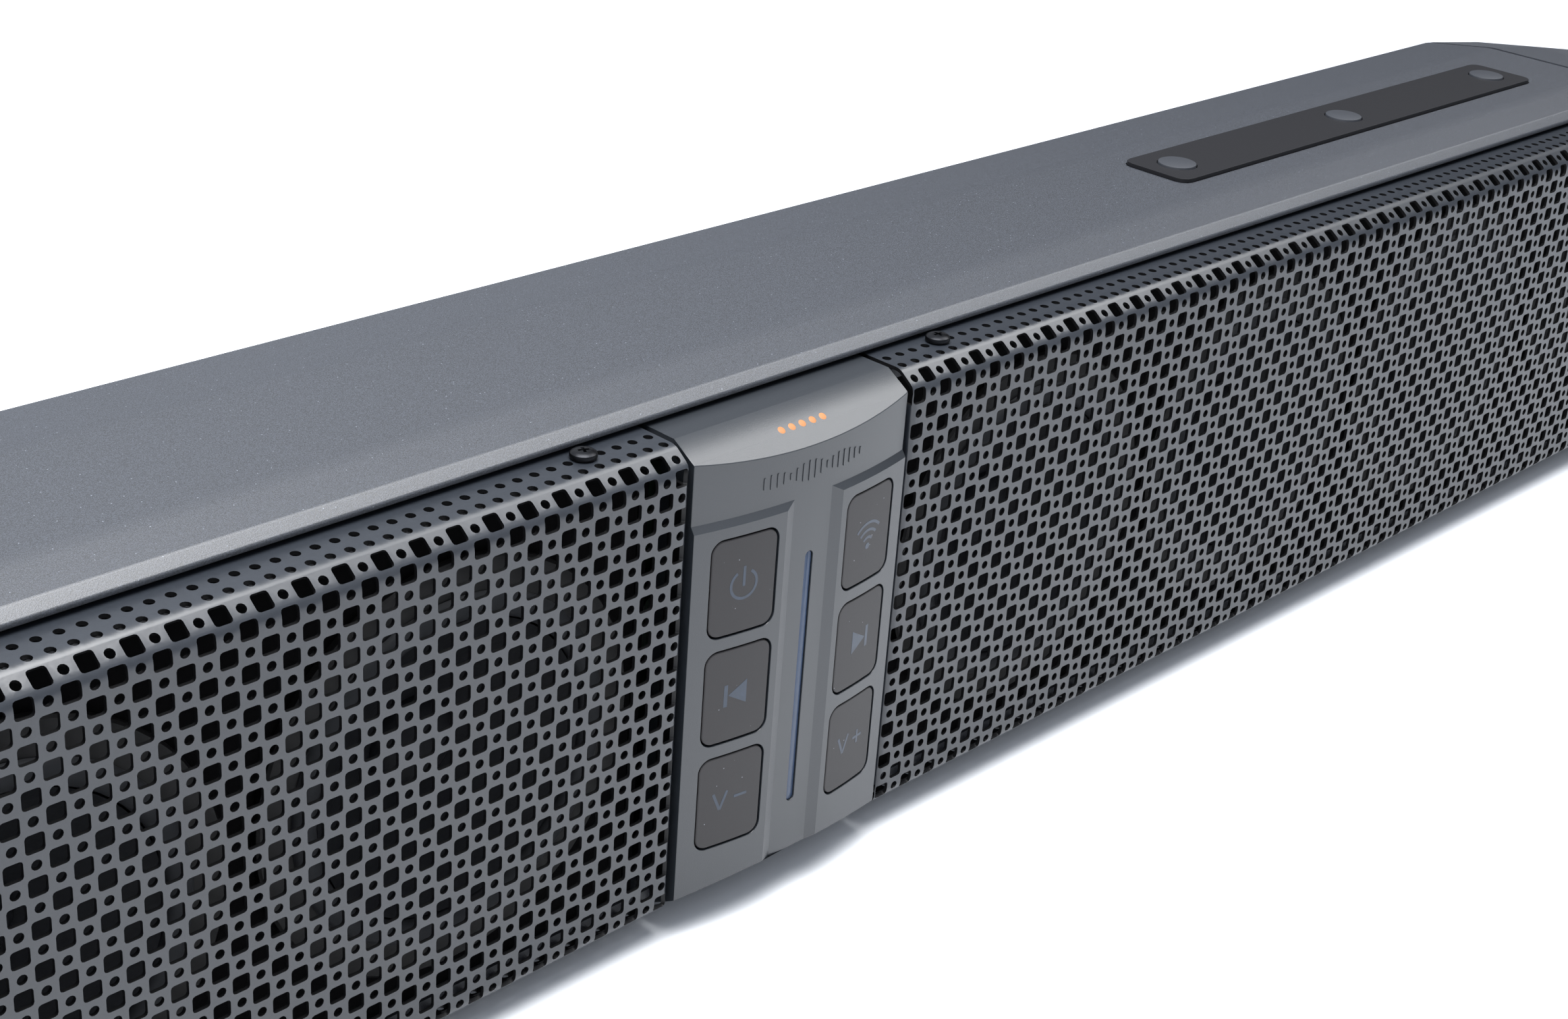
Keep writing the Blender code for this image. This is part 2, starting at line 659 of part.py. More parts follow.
def make_buttons():
    for name, x, z in button_centres():
        prism = button_prism(x, z, 0.0, FRONT - 4 * PANEL_SHELL, FRONT + BUTTON_BACK)
        button = add(name, mesh_from(name, prism), BUTTON_RUBBER)
        boolean(button, panel_slab(PAD_RISE, BACK, -MIDDLE, MIDDLE), "INTERSECT")
        back = FRONT + BUTTON_BACK
        skirt = button_prism(x, z, BUTTON_SKIRT, back - BUTTON_SKIRT_THICKNESS, back)
        boolean(button, skirt, "UNION")


def make_lights():
    strip = strip_prism(0.0, FRONT - 4 * PANEL_SHELL, FRONT - PANEL_BULGE + LIGHT_STRIP_THICKNESS)
    light = add("light_strip", mesh_from("light_strip", strip), LIGHT_GUIDE)
    boolean(light, panel_slab(-GAP / 3, BACK, -MIDDLE, MIDDLE), "INTERSECT")
    reach = STATUS_LIGHTS * STATUS_LIGHT_PITCH / 2
    depth = STATUS_LIGHT_LENGTH - STATUS_LIGHT_RADIUS
    bar = box((-reach, -STATUS_LIGHT_RADIUS, depth), (reach, STATUS_LIGHT_RADIUS, depth + 0.0016))
    bmesh.ops.transform(bar, matrix=status_light_frame(0.0), verts=bar.verts)
    guide = add("status_lights", mesh_from("status_lights", bar), AMBER_GUIDE)
    for bm in status_light_rods(0.0, GAP / 2, STATUS_LIGHT_LENGTH):
        boolean(guide, bm, "UNION")


# --- Electronics --------------------------------------------------------------------------------
def make_control_electronics():
    half = PANEL_HALF - PANEL_SHELL - CONTROL_BOARD_MARGIN
    tall = PANEL_SIDE_TOP - PANEL_SHELL - CONTROL_BOARD_MARGIN
    front = FRONT + BUTTON_BACK + BUTTON_TRAVEL + GAP
    sheet = box((-half, front, MIDDLE - tall), (half, front + MEMBRANE, MIDDLE + tall))
    add("keypad_membrane", mesh_from("keypad_membrane", sheet), SEAL_RUBBER)
    switches = front + MEMBRANE + GAP
    face = switches + SWITCH_HEIGHT
    bm = box((-half, face, MIDDLE - tall), (half, face + BOARD, MIDDLE + tall))
    board = add("control_board", mesh_from("control_board", bm), CIRCUIT_BOARD)
    reach = SWITCH_SIZE / 2
    for _, x, z in button_centres():
        low = (x - reach, switches, MIDDLE + z - reach)
        switch = box(low, (x + reach, face + BOARD / 2, MIDDLE + z + reach))
        boolean(board, switch, "UNION")


def make_amplifier():
    half = BULKHEAD_INNER - AMPLIFIER_MARGIN
    tall = INSIDE_TOP - AMPLIFIER_MARGIN
    front = FRONT + AMPLIFIER_SETBACK
    bm = box((-half, front, MIDDLE - tall), (half, front + BOARD, MIDDLE + tall))
    board = add("amplifier_board", mesh_from("amplifier_board", bm), CIRCUIT_BOARD)

    base = front + BOARD + GAP
    end = BACK - WALL - GAP
    low = MIDDLE + tall - HEATSINK_HEIGHT
    sink = box((-half, base, low), (half, base + HEATSINK_BASE, MIDDLE + tall))
    heatsink = add("heatsink", mesh_from("heatsink", sink), PLAIN_ALUMINIUM)
    pitch = (2 * half - HEATSINK_FIN_WIDTH) / (HEATSINK_FINS - 1)
    for i in range(HEATSINK_FINS):
        x = -half + i * pitch
        fin = box((x, base, low), (x + HEATSINK_FIN_WIDTH, end - 4 * GAP, MIDDLE + tall))
        boolean(heatsink, fin, "UNION")

    for i in range(CAPACITORS):
        x = (i - (CAPACITORS - 1) / 2) * (2 * CAPACITOR_RADIUS + 4 * GAP)
        place = (x, front + BOARD / 2, MIDDLE + tall / 2)
        can = rod(CAPACITOR_RADIUS, CAPACITOR_HEIGHT, place, AXIS_TO_FRONT, FINE_ROUND)
        boolean(board, can, "UNION")
    for side in (-1, 1):
        place = (side * (CHOKE_RADIUS + 4 * GAP), front + BOARD / 2, MIDDLE - tall / 3)
        choke = rod(CHOKE_RADIUS, CHOKE_HEIGHT, place, AXIS_TO_FRONT, SMALL_ROUND)
        boolean(board, choke, "UNION")


def make_connectors():
    """The power and the signal connector on the back, each closed by its dust cap."""
    for name, side in (("power", -1), ("signal", 1)):
        place = (side * INLET_X, BACK, MIDDLE - INLET_BELOW_MIDDLE)
        face = GAP + INLET_FLANGE
        profile = [
            (0, face + INLET_CAP_LENGTH),
            (INLET_CAP_RADIUS - 2 * GAP, face + INLET_CAP_LENGTH),
            (INLET_CAP_RADIUS, face + INLET_CAP_LENGTH - 2 * GAP),
            (INLET_CAP_RADIUS, face),
            (INLET_FLANGE_RADIUS - GAP, face),
            (INLET_FLANGE_RADIUS, INLET_FLANGE),
            (INLET_FLANGE_RADIUS, GAP),
            (INLET_BARREL_RADIUS, GAP),
            (INLET_BARREL_RADIUS, -INLET_BARREL_LENGTH),
            (0, -INLET_BARREL_LENGTH),
        ]
        turned(f"{name}_connector", profile, BLACK_ABS, place, AXIS_TO_BACK, closed=False)


# --- Speakers -----------------------------------------------------------------------------------
def woofer_places(side):
    """X of each woofer on one side, from the middle of the bar outwards."""
    return [side * (CHAMBER_START + WOOFER_BAY * (i + 0.5)) for i in range(WOOFERS_PER_SIDE)]


def tweeter_place(side):
    return side * (CHAMBER_END - TWEETER_BAY / 2)


def make_bulkheads_and_baffles():
    for name, side in (("left", -1), ("right", 1)):
        profile = [(BAFFLE_FRONT, CLEAR_HALF), *inside_half(GAP)[1:]]
        x = side * (BULKHEAD_INNER + BULKHEAD / 2)
        bm = outline(mirrored(profile), BULKHEAD, at_middle(x=x))
        add(f"bulkhead_{name}", mesh_from("bulkhead", bm), BLACK_ABS)
        x = side * (HOUSING_HALF - GAP - END_PLATE / 2)
        bm = outline(mirrored(profile), END_PLATE, at_middle(x=x))
        plate = add(f"end_plate_{name}", mesh_from("end_plate", bm), BLACK_ABS)
        for y, z in cap_screw_places():
            place = (x - 2 * END_PLATE, y, MIDDLE + z)
            turn = Matrix.Rotation(math.pi / 2, 4, "Y")
            boolean(plate, rod(CAP_SCREW_SHANK + GAP, 4 * END_PLATE, place, turn, FINE_ROUND))

        low, high = sorted((side * CHAMBER_START, side * CHAMBER_END))
        bm = box(
            (low, BAFFLE_FRONT, MIDDLE - CLEAR_HALF), (high, BAFFLE_BACK, MIDDLE + CLEAR_HALF)
        )
        baffle = add(f"baffle_{name}", mesh_from("baffle", bm), BLACK_ABS)
        for x in woofer_places(side):
            radius = WOOFER_RADIUS - FRAME_RING / 2 + GAP
            place = (x, BAFFLE_BACK + BAFFLE, MIDDLE)
            boolean(baffle, rod(radius, 3 * BAFFLE, place, AXIS_TO_FRONT, SPEAKER_ROUND))
        place = (tweeter_place(side), BAFFLE_BACK + BAFFLE, MIDDLE)
        boolean(baffle, rod(TWEETER_BODY_RADIUS + GAP, 3 * BAFFLE, place, AXIS_TO_FRONT, SPEAKER_ROUND))


def woofer_profile():
    """Basket, surround, magnet and pole from the axis outwards. +Z points to the front and
    height 0 is the mounting face."""
    ring = WOOFER_RADIUS - FRAME_RING / 2
    inner = WOOFER_RADIUS - FRAME_RING
    roll_out = inner + SURROUND_WIDTH * 0.4
    roll_in = roll_out - SURROUND_WIDTH
    step = -FRAME_DEPTH / 4
    deep = -FRAME_DEPTH
    pole = COIL_RADIUS - CONE_SHELL - 2 * CONE_CLEARANCE
    hole = COIL_RADIUS + 3 * CONE_CLEARANCE
    plate = deep - MAGNET_DEPTH
    return [
        (0, deep + FRAME_SHELL),
        (pole, deep + FRAME_SHELL),
        (pole, plate),
        (hole, plate),
        (hole, deep + FRAME_SHELL),
        (MAGNET_RADIUS - FRAME_SHELL, deep + FRAME_SHELL),
        (inner, step),
        (inner, FRAME_FLANGE - CONE_SHELL),
        (roll_in, FRAME_FLANGE - CONE_SHELL),
        (roll_in, FRAME_FLANGE),
        ((roll_in + roll_out) / 2, FRAME_FLANGE + SURROUND_ROLL),
        (roll_out, FRAME_FLANGE),
        (WOOFER_RADIUS, FRAME_FLANGE),
        (WOOFER_RADIUS, 0),
        (ring, 0),
        (ring, step),
        (MAGNET_RADIUS, deep),
        (MAGNET_RADIUS, plate - YOKE),
        (0, plate - YOKE),
    ]


def cone_profile():
    """Cone, dust cap and voice coil in one, from the axis at the front to the axis behind."""
    edge = WOOFER_RADIUS - FRAME_RING - SURROUND_WIDTH * 0.6 - CONE_CLEARANCE
    front = FRAME_FLANGE
    neck = front - CONE_DEPTH
    coil = COIL_RADIUS
    coil_end = -FRAME_DEPTH - MAGNET_DEPTH * 0.4
    return [
        (0, neck + coil * DUST_CAP_SHARE),
        (coil * 0.7, neck + coil * DUST_CAP_SHARE * 0.7),
        (coil, neck),
        (edge, front),
        (edge, front - 1.5 * CONE_SHELL),
        (coil, neck - 2 * CONE_SHELL),
        (coil, coil_end),
        (coil - CONE_SHELL, coil_end),
        (coil - CONE_SHELL, neck - CONE_SHELL),
        (0, neck + coil * DUST_CAP_SHARE - 2 * CONE_SHELL),
    ]


def make_woofers():
    for side_name, side in (("left", -1), ("right", 1)):
        for number, x in enumerate(woofer_places(side), 1):
            place = (x, BAFFLE_FRONT - GAP, MIDDLE)
            body = f"woofer_body_{side_name}_{number}"
            cone = f"woofer_cone_{side_name}_{number}"
            turned(body, woofer_profile(), BLACK_ABS, place, closed=False)
            turned(cone, cone_profile(), CONE_PULP, place, closed=False)


def make_tweeters():
    for name, side in (("left", -1), ("right", 1)):
        place = (tweeter_place(side), BAFFLE_FRONT - GAP, MIDDLE)
        dome = TWEETER_DOME_RADIUS
        profile = [
            (0, dome * DUST_CAP_SHARE),
            (dome * 0.7, dome * DUST_CAP_SHARE * 0.7),
            (dome, 0),
            (TWEETER_BODY_RADIUS, FRAME_FLANGE),
            (TWEETER_RADIUS, FRAME_FLANGE),
            (TWEETER_RADIUS, 0),
            (TWEETER_BODY_RADIUS, 0),
            (TWEETER_BODY_RADIUS, -TWEETER_DEPTH),
            (0, -TWEETER_DEPTH),
        ]
        turned(f"tweeter_{name}", profile, BLACK_ABS, place, closed=False)


# --- End caps -----------------------------------------------------------------------------------
def cap_section(inset=0.0):
    """The bar's whole silhouette, lip, shoulder and grille face together, drawn in by a wall."""
    lip = FRONT + LIP_SETBACK + inset
    half = [
        (FRONT + inset, FLANGE_TOP - SHOULDER_RISE - inset / 2),
        (FRONT + SHOULDER_RUN + inset / 2, FLANGE_TOP - inset),
        (lip, FLANGE_TOP - inset),
        (lip, LIP_BOTTOM + LIP_FACE - inset),
        (lip + LIP_BEVEL_RUN, LIP_BOTTOM + LIP_FACE + LIP_BEVEL_RISE - inset),
        (FRONT + FRONT_CREASE, MIDDLE - inset),
        (BACK - BACK_SLOPE_RUN, MIDDLE - inset),
        *back_corner(BACK_CORNER_RADIUS - inset, inset),
    ]
    return mirrored(half)


def loft(sections):
    """A closed body through outlines that all have the same number of points."""
    bm = bmesh.new()
    rings = [[bm.verts.new(point) for point in section] for section in sections]
    count = len(rings[0])
    for a, b in zip(rings, rings[1:]):
        for i in range(count):
            j = (i + 1) % count
            bm.faces.new((a[i], a[j], b[j], b[i]))
    bm.faces.new(rings[0])
    bm.faces.new(rings[-1])
    bmesh.ops.recalc_face_normals(bm, faces=bm.faces)
    return bm


def cap_body(side, inset, start, end):
    """The end's silhouette, drawn in along the bar as the back, the top and the front taper."""
    sections = []
    for step in range(CAP_STEPS + 1):
        x = start + (end - start) * math.sin(math.pi / 2 * step / CAP_STEPS)
        t = max(0.0, (x - HOUSING_HALF) / CAP_LENGTH)
        front = CAP_FRONT_TAPER * t**3
        back = CAP_BACK_TAPER[0] * t + CAP_BACK_TAPER[1] * t**2
        rise = 1 - (CAP_TOP_TAPER[0] * t + CAP_TOP_TAPER[1] * t**2) / MIDDLE
        section = []
        for y, z in cap_section(inset):
            share = (y - FRONT) / DEPTH
            section.append((side * x, y + front * (1 - share) - back * share, MIDDLE + z * rise))
        sections.append(section)
    return loft(sections)


def cap_screw_places():
    """(y, height from the middle) of each cap's screws."""
    centre = (CAP_FRONT_TAPER - sum(CAP_BACK_TAPER)) / 2
    spread_y = CAP_SCREW_SPREAD_Y / 2
    spread_z = CAP_SCREW_SPREAD_Z / 2
    return [(centre + a * spread_y, b * spread_z) for a in (-1, 1) for b in (-1, 1)]


def make_end_caps():
    seat = HOUSING_HALF + 2 * GAP + GASKET
    for name, side in (("left", -1), ("right", 1)):
        turn = Matrix.Rotation(side * math.pi / 2, 4, "Y")
        x = side * (HOUSING_HALF + GAP + GASKET / 2)
        ring = outline(cap_section(2 * GAP), GASKET, at_middle(x=x))
        gasket = add(f"end_cap_gasket_{name}", mesh_from("gasket", ring), SEAL_RUBBER)
        boolean(gasket, outline(cap_section(GASKET_WIDTH), 3 * GASKET, at_middle(x=x)))
        body = cap_body(side, 0.0, seat, LENGTH / 2)
        cap = add(f"end_cap_{name}", mesh_from("end_cap", body), GREY_PAINT)
        boolean(cap, cap_body(side, CAP_SHELL, seat - CAP_SHELL, LENGTH / 2 - CAP_SHELL))
        for y, z in cap_screw_places():
            place = (side * seat, y, MIDDLE + z)
            length = LENGTH / 2 - seat - CAP_SHELL / 2
            boss = rod(CAP_SCREW_SHANK + CAP_BOSS_WALL, length, place, turn, FINE_ROUND)
            boolean(cap, boss, "UNION")
            place = (side * (seat - CAP_SHELL), y, MIDDLE + z)
            boolean(cap, rod(CAP_SCREW_SHANK, CAP_BOSS_DEPTH, place, turn, FINE_ROUND))


# --- Mounting points ----------------------------------------------------------------------------
def make_mounts():
    for name, side in (("left", -1), ("right", 1)):
        x = side * MOUNT_X
        low = HEIGHT - MOUNT_PLATE_RECESS + GAP
        shape = rounded_rectangle(MOUNT_PLATE_LENGTH, MOUNT_PLATE_WIDTH, MOUNT_PLATE_RADIUS)
        centre = Matrix.Translation((x, MOUNT_Y, low + MOUNT_PLATE_THICKNESS / 2))
        bm = outline(shape, MOUNT_PLATE_THICKNESS, centre)
        plate = add(f"mount_plate_{name}", mesh_from("mount_plate", bm), BLACK_ABS)
        for number, step in enumerate((-1, 0, 1), 1):
            place = (x + step * MOUNT_PITCH, MOUNT_Y, low - MOUNT_PLATE_THICKNESS)
            boolean(plate, rod(PLUG_RADIUS + GAP, 4 * MOUNT_PLATE_THICKNESS, place))
            head = low + MOUNT_PLATE_THICKNESS + PLUG_RISE
            shoulder = HEIGHT - WALL + GAP
            profile = [
                (0, head),
                (PLUG_RADIUS - GAP, head),
                (PLUG_RADIUS, head - GAP),
                (PLUG_RADIUS, shoulder),
                (MOUNT_THREAD_RADIUS - GAP, shoulder),
                (MOUNT_THREAD_RADIUS - GAP, shoulder - NUT_BAR_THICKNESS / 2),
                (0, shoulder - NUT_BAR_THICKNESS / 2),
            ]
            place = (x + step * MOUNT_PITCH, MOUNT_Y, 0)
            turn = Matrix.Identity(4)
            plug = f"mount_plug_{name}_{number}"
            turned(plug, profile, SEAL_RUBBER, place, turn, closed=False)


make_housing()
for grille_name, grille_side in (("grille_left", -1), ("grille_right", 1)):
    make_grille(grille_name, grille_side)
make_grille_screws()
make_panel()
make_buttons()
make_lights()
make_control_electronics()
make_amplifier()
make_connectors()
make_bulkheads_and_baffles()
make_woofers()
make_tweeters()
make_end_caps()
make_mounts()
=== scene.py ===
"""A powered soundbar for a vehicle's roll cage, seen from its left front corner.

The bar is a painted extrusion, open at the front. Two perforated steel grilles and a moulded
control panel close it, and a moulded cap closes each end. X runs along the bar, -Y is the front
and +Z is up. Units are metres.
"""

import math

import bmesh
import bpy
from mathutils import Matrix, Vector


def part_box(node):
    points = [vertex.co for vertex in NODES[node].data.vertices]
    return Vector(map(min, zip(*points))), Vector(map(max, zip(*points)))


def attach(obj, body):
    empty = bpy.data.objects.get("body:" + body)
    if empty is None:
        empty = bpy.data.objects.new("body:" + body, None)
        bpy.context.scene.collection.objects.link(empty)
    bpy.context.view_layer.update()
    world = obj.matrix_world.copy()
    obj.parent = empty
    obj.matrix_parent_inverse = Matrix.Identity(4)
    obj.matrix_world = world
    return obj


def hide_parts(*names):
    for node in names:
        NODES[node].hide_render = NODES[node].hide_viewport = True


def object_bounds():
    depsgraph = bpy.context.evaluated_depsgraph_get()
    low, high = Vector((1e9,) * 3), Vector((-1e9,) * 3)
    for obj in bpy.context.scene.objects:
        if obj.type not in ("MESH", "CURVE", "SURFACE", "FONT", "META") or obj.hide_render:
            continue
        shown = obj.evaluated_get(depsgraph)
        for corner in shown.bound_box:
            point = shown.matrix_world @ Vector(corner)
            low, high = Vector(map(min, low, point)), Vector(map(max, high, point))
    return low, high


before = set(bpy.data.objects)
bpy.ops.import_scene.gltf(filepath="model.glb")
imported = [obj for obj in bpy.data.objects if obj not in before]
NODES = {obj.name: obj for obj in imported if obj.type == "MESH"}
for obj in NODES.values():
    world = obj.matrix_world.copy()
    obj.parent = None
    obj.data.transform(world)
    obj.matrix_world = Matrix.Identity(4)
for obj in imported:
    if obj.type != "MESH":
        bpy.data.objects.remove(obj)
CAD_BOX = [[float(value) for value in corner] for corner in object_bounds()]
MM = 0.001

# --- Camera -------------------------------------------------------------------------------------
# The camera stands close to the bar's left half, a little above it, and looks along it towards
# the right end. It is rolled a few degrees, so that the bar climbs to the right.
def corners(node):
    """A node's lowest and highest corners."""
    return [Vector(corner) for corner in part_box(node)]


BAR_HIGH = corners("housing")[1]
GRILLE_LOW, GRILLE_HIGH = corners("grille_left")
FRONT = GRILLE_LOW.y
MIDDLE = (GRILLE_LOW.z + GRILLE_HIGH.z) / 2
CAMERA_PLACE = Vector((-0.3212, FRONT - 0.2938, MIDDLE + 0.2388))
CAMERA_LOOK = Vector((0.6612, 0.6147, -0.43)).normalized()
CAMERA_ROLL = math.radians(4.215)
CAMERA_LENS = 55.29  # in millimetres, on a 36 mm sensor
NEAR_CLIP = 0.01

level = CAMERA_LOOK.cross(Vector((0, 0, 1))).normalized()
upright = level.cross(CAMERA_LOOK)
across = level * math.cos(CAMERA_ROLL) + upright * math.sin(CAMERA_ROLL)
upward = across.cross(CAMERA_LOOK)
lens = bpy.data.cameras.new("camera")
lens.lens = CAMERA_LENS
lens.sensor_width = 36.0
lens.clip_start = NEAR_CLIP
camera = bpy.data.objects.new("camera", lens)
camera.matrix_world = Matrix.Translation(CAMERA_PLACE) @ Matrix(
    (across, upward, -CAMERA_LOOK)
).transposed().to_4x4()
bpy.context.scene.collection.objects.link(camera)
bpy.context.scene.camera = camera


# --- Floor and light ----------------------------------------------------------------------------
# A white table under a pale tent, which is open and darker beyond the bar's right end. A soft
# lamp hangs over the bar, and one at the right lights the slopes that lean to the front.
def linear(code):
    """An sRGB hex colour as linear red, green, blue and alpha."""
    parts = [int(code[i : i + 2], 16) / 255 for i in (1, 3, 5)]
    parts = [p / 12.92 if p <= 0.04045 else ((p + 0.055) / 1.055) ** 2.4 for p in parts]
    return (*parts, 1.0)


def add_node(tree, kind, settings=None, **inputs):
    """A shader node with its settings; an input is a value, or the socket that feeds it."""
    made = tree.nodes.new(kind)
    for key, value in (settings or {}).items():
        setattr(made, key, value)
    for key, value in inputs.items():
        place = int(key[1:]) if key[1:].isdigit() else key.replace("_", " ")
        socket = made.inputs[place]
        if isinstance(value, bpy.types.NodeSocket):
            tree.links.new(value, socket)
        else:
            socket.default_value = value
    return made


def new_material(name, colour, roughness, **values):
    """A material with its Principled shader: (material, its nodes, the shader)."""
    material = bpy.data.materials.new(name)
    material.use_nodes = True
    shader = material.node_tree.nodes["Principled BSDF"]
    shader.inputs["Base Color"].default_value = linear(colour)
    shader.inputs["Roughness"].default_value = roughness
    for key, value in values.items():
        shader.inputs[key.replace("_", " ")].default_value = value
    material.diffuse_color = linear(colour)
    return material, material.node_tree, shader


def add_piece(name, bm, material, body="root", sharp=35, dent=None):
    """An object at the origin for this mesh, which rides on a body. An edge shows as sharp above
    an angle in degrees, and an inward edge above its own, where one is given."""
    for face in bm.faces:
        face.smooth = True
    for edge in bm.edges:
        limit = sharp if dent is None or edge.is_convex else dent
        soft = edge.calc_face_angle(0.0) < math.radians(limit)
        edge.smooth = soft and len(edge.link_faces) == 2
    mesh = bpy.data.meshes.new(name)
    bm.to_mesh(mesh)
    bm.free()
    mesh.materials.append(material)
    piece = bpy.data.objects.new(name, mesh)
    bpy.context.scene.collection.objects.link(piece)
    if body:
        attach(piece, body)
    return piece


FLOOR_SIZE = 6.0
FLOOR_DROP = 0.2 * MM  # keeps the floor just clear of the bar's flat underside
OPEN_SIDE = (0.97, 0.2, 0.12)

# White laminate, matt: it goes clean white under the lamps, with a soft shadow at the bar's foot.
table_finish = new_material("white_table_laminate", "#DEE0E3", 0.7)[0]
bm = bmesh.new()
bmesh.ops.create_grid(bm, x_segments=1, y_segments=1, size=FLOOR_SIZE)
bmesh.ops.translate(bm, vec=(0, 0, CAD_BOX[0][2] - FLOOR_DROP), verts=bm.verts)
floor = add_piece("floor", bm, table_finish, body=None)

# The tent: a pale blue white that is dimmer at the horizon, and fades out on its open side.
world = bpy.data.worlds.new("tent")
world.use_nodes = True
tree = world.node_tree
direction = add_node(tree, "ShaderNodeTexCoord").outputs["Generated"]
facing = add_node(
    tree, "ShaderNodeVectorMath", {"operation": "DOT_PRODUCT"}, i0=direction, i1=OPEN_SIDE
)
shade = add_node(
    tree,
    "ShaderNodeMapRange",
    {"interpolation_type": "SMOOTHSTEP"},
    Value=facing.outputs["Value"],
    From_Min=0.6,
    From_Max=0.92,
    To_Min=1.0,
    To_Max=0.0,
)
height = add_node(tree, "ShaderNodeSeparateXYZ", Vector=direction)
rise = add_node(
    tree,
    "ShaderNodeMapRange",
    {"interpolation_type": "SMOOTHSTEP"},
    Value=height.outputs["Z"],
    From_Min=0.0,
    From_Max=0.85,
    To_Min=0.6,
    To_Max=1.15,
)
glow = add_node(
    tree,
    "ShaderNodeMath",
    {"operation": "MULTIPLY"},
    i0=shade.outputs["Result"],
    i1=rise.outputs["Result"],
)
tree.nodes["Background"].inputs["Color"].default_value = linear("#E9F0FC")
tree.links.new(glow.outputs["Value"], tree.nodes["Background"].inputs["Strength"])
bpy.context.scene.world = world
bpy.context.scene.view_settings.view_transform = "Standard"


def add_lamp(name, place, target, size, power):
    """A white area lamp that faces a point. Its power is in watts."""
    data = bpy.data.lights.new(name, "AREA")
    data.shape = "RECTANGLE"
    data.size, data.size_y = size
    data.energy = power
    lamp = bpy.data.objects.new(name, data)
    direction = Vector(target) - Vector(place)
    turn = direction.to_track_quat("-Z", "Y").to_matrix().to_4x4()
    lamp.matrix_world = Matrix.Translation(place) @ turn
    bpy.context.scene.collection.objects.link(lamp)
    return lamp


OVERHEAD_PLACE, OVERHEAD_TARGET = (-0.1, -0.05, 0.85), (-0.05, 0, MIDDLE)
SIDE_PLACE, SIDE_TARGET = (1.38, -0.17, 1.585), (0.02, -0.03, 0.12)
add_lamp("overhead_lamp", OVERHEAD_PLACE, OVERHEAD_TARGET, (0.6, 0.6), 17.5)
add_lamp("side_lamp", SIDE_PLACE, SIDE_TARGET, (0.9, 0.9), 18)

# --- Housing ------------------------------------------------------------------------------------
# An aluminium extrusion with a sandy dark grey powder coat. Its lip hangs over the grilles, and
# its long edges come off the die slightly rounded.
LIP_ROUND = 0.35 * MM
CREASE_ROUND = 2.2 * MM
LIP_REACH = 53.5 * MM  # the lip's and the back's edges lie further than this from the middle
LONG = 0.5  # an edge longer than this runs along the whole bar
FOLD, CREASE = 12, 3  # the least turns, in degrees, of a folded edge and of a crease
POWDER_GRAIN = 0.21 * MM
POWDER_SPARK = 2.2 * MM
POWDER_CLOUD = 22 * MM
WELD = 0.001 * MM  # corners closer than this are one


def cad_copy(node):
    """A CAD node's mesh with its triangles merged back into flat faces."""
    bm = bmesh.new()
    bm.from_mesh(NODES[node].data)
    bmesh.ops.remove_doubles(bm, verts=bm.verts, dist=WELD)
    bmesh.ops.dissolve_limit(
        bm, angle_limit=math.radians(0.6), verts=bm.verts, edges=bm.edges, delimit=set()
    )
    return bm


def bevel_edges(bm, edges, width, segments=3, clamp=True):
    """Rounds these edges off over a width."""
    bmesh.ops.bevel(
        bm,
        geom=edges,
        offset=width,
        offset_type="OFFSET",
        segments=segments,
        profile=0.5,
        affect="EDGES",
        clamp_overlap=clamp,
        material=-1,
    )


def bend_of(edge):
    """The angle in degrees between an edge's two faces, or 0 where it doesn't turn outwards."""
    if len(edge.link_faces) != 2 or not edge.is_convex:
        return 0.0
    return math.degrees(edge.calc_face_angle(0.0))


def weigh(piece):
    """Keeps flat faces flat between rounded edges."""
    normals = piece.modifiers.new("normals", "WEIGHTED_NORMAL")
    normals.keep_sharp = True


# Polyester powder baked on aluminium: a fine sandy grain breaks up the sheen, the tone drifts a
# little every few centimetres, and some grains catch the light as pale flecks.
powder_coat, tree, shader = new_material(
    "sandy_powder_coat", "#25282D", 0.47, Specular_IOR_Level=0.85
)
place = add_node(tree, "ShaderNodeTexCoord").outputs["Object"]
grain = add_node(
    tree, "ShaderNodeTexNoise", Vector=place, Scale=1 / POWDER_GRAIN, Detail=3.0, Roughness=0.65
)
cloud = add_node(tree, "ShaderNodeTexNoise", Vector=place, Scale=1 / POWDER_CLOUD, Detail=2.0)
spark = add_node(tree, "ShaderNodeTexVoronoi", Vector=place, Scale=1 / POWDER_SPARK)
fleck = add_node(
    tree,
    "ShaderNodeMapRange",
    Value=spark.outputs["Distance"],
    From_Min=0.02,
    From_Max=0.075,
    To_Min=0.8,
    To_Max=0.0,
)
sand = add_node(
    tree,
    "ShaderNodeMapRange",
    {"interpolation_type": "SMOOTHSTEP"},
    Value=grain.outputs["Fac"],
    From_Min=0.34,
    From_Max=0.70,
)
tone = add_node(
    tree,
    "ShaderNodeMixRGB",
    Fac=sand.outputs["Result"],
    Color1=linear("#191B1F"),
    Color2=linear("#3A3E46"),
)
drift = add_node(
    tree,
    "ShaderNodeMixRGB",
    Fac=cloud.outputs["Fac"],
    Color1=linear("#F4F4F4"),
    Color2=linear("#FFFFFF"),
)
even = add_node(
    tree,
    "ShaderNodeMixRGB",
    {"blend_type": "MULTIPLY"},
    Fac=0.6,
    Color1=tone.outputs["Color"],
    Color2=drift.outputs["Color"],
)
coat = add_node(
    tree,
    "ShaderNodeMixRGB",
    Fac=fleck.outputs["Result"],
    Color1=even.outputs["Color"],
    Color2=linear("#7C828C"),
)
tree.links.new(coat.outputs["Color"], shader.inputs["Base Color"])
bump = add_node(
    tree, "ShaderNodeBump", Strength=0.55, Distance=0.07 * MM, Height=grain.outputs["Fac"]
)
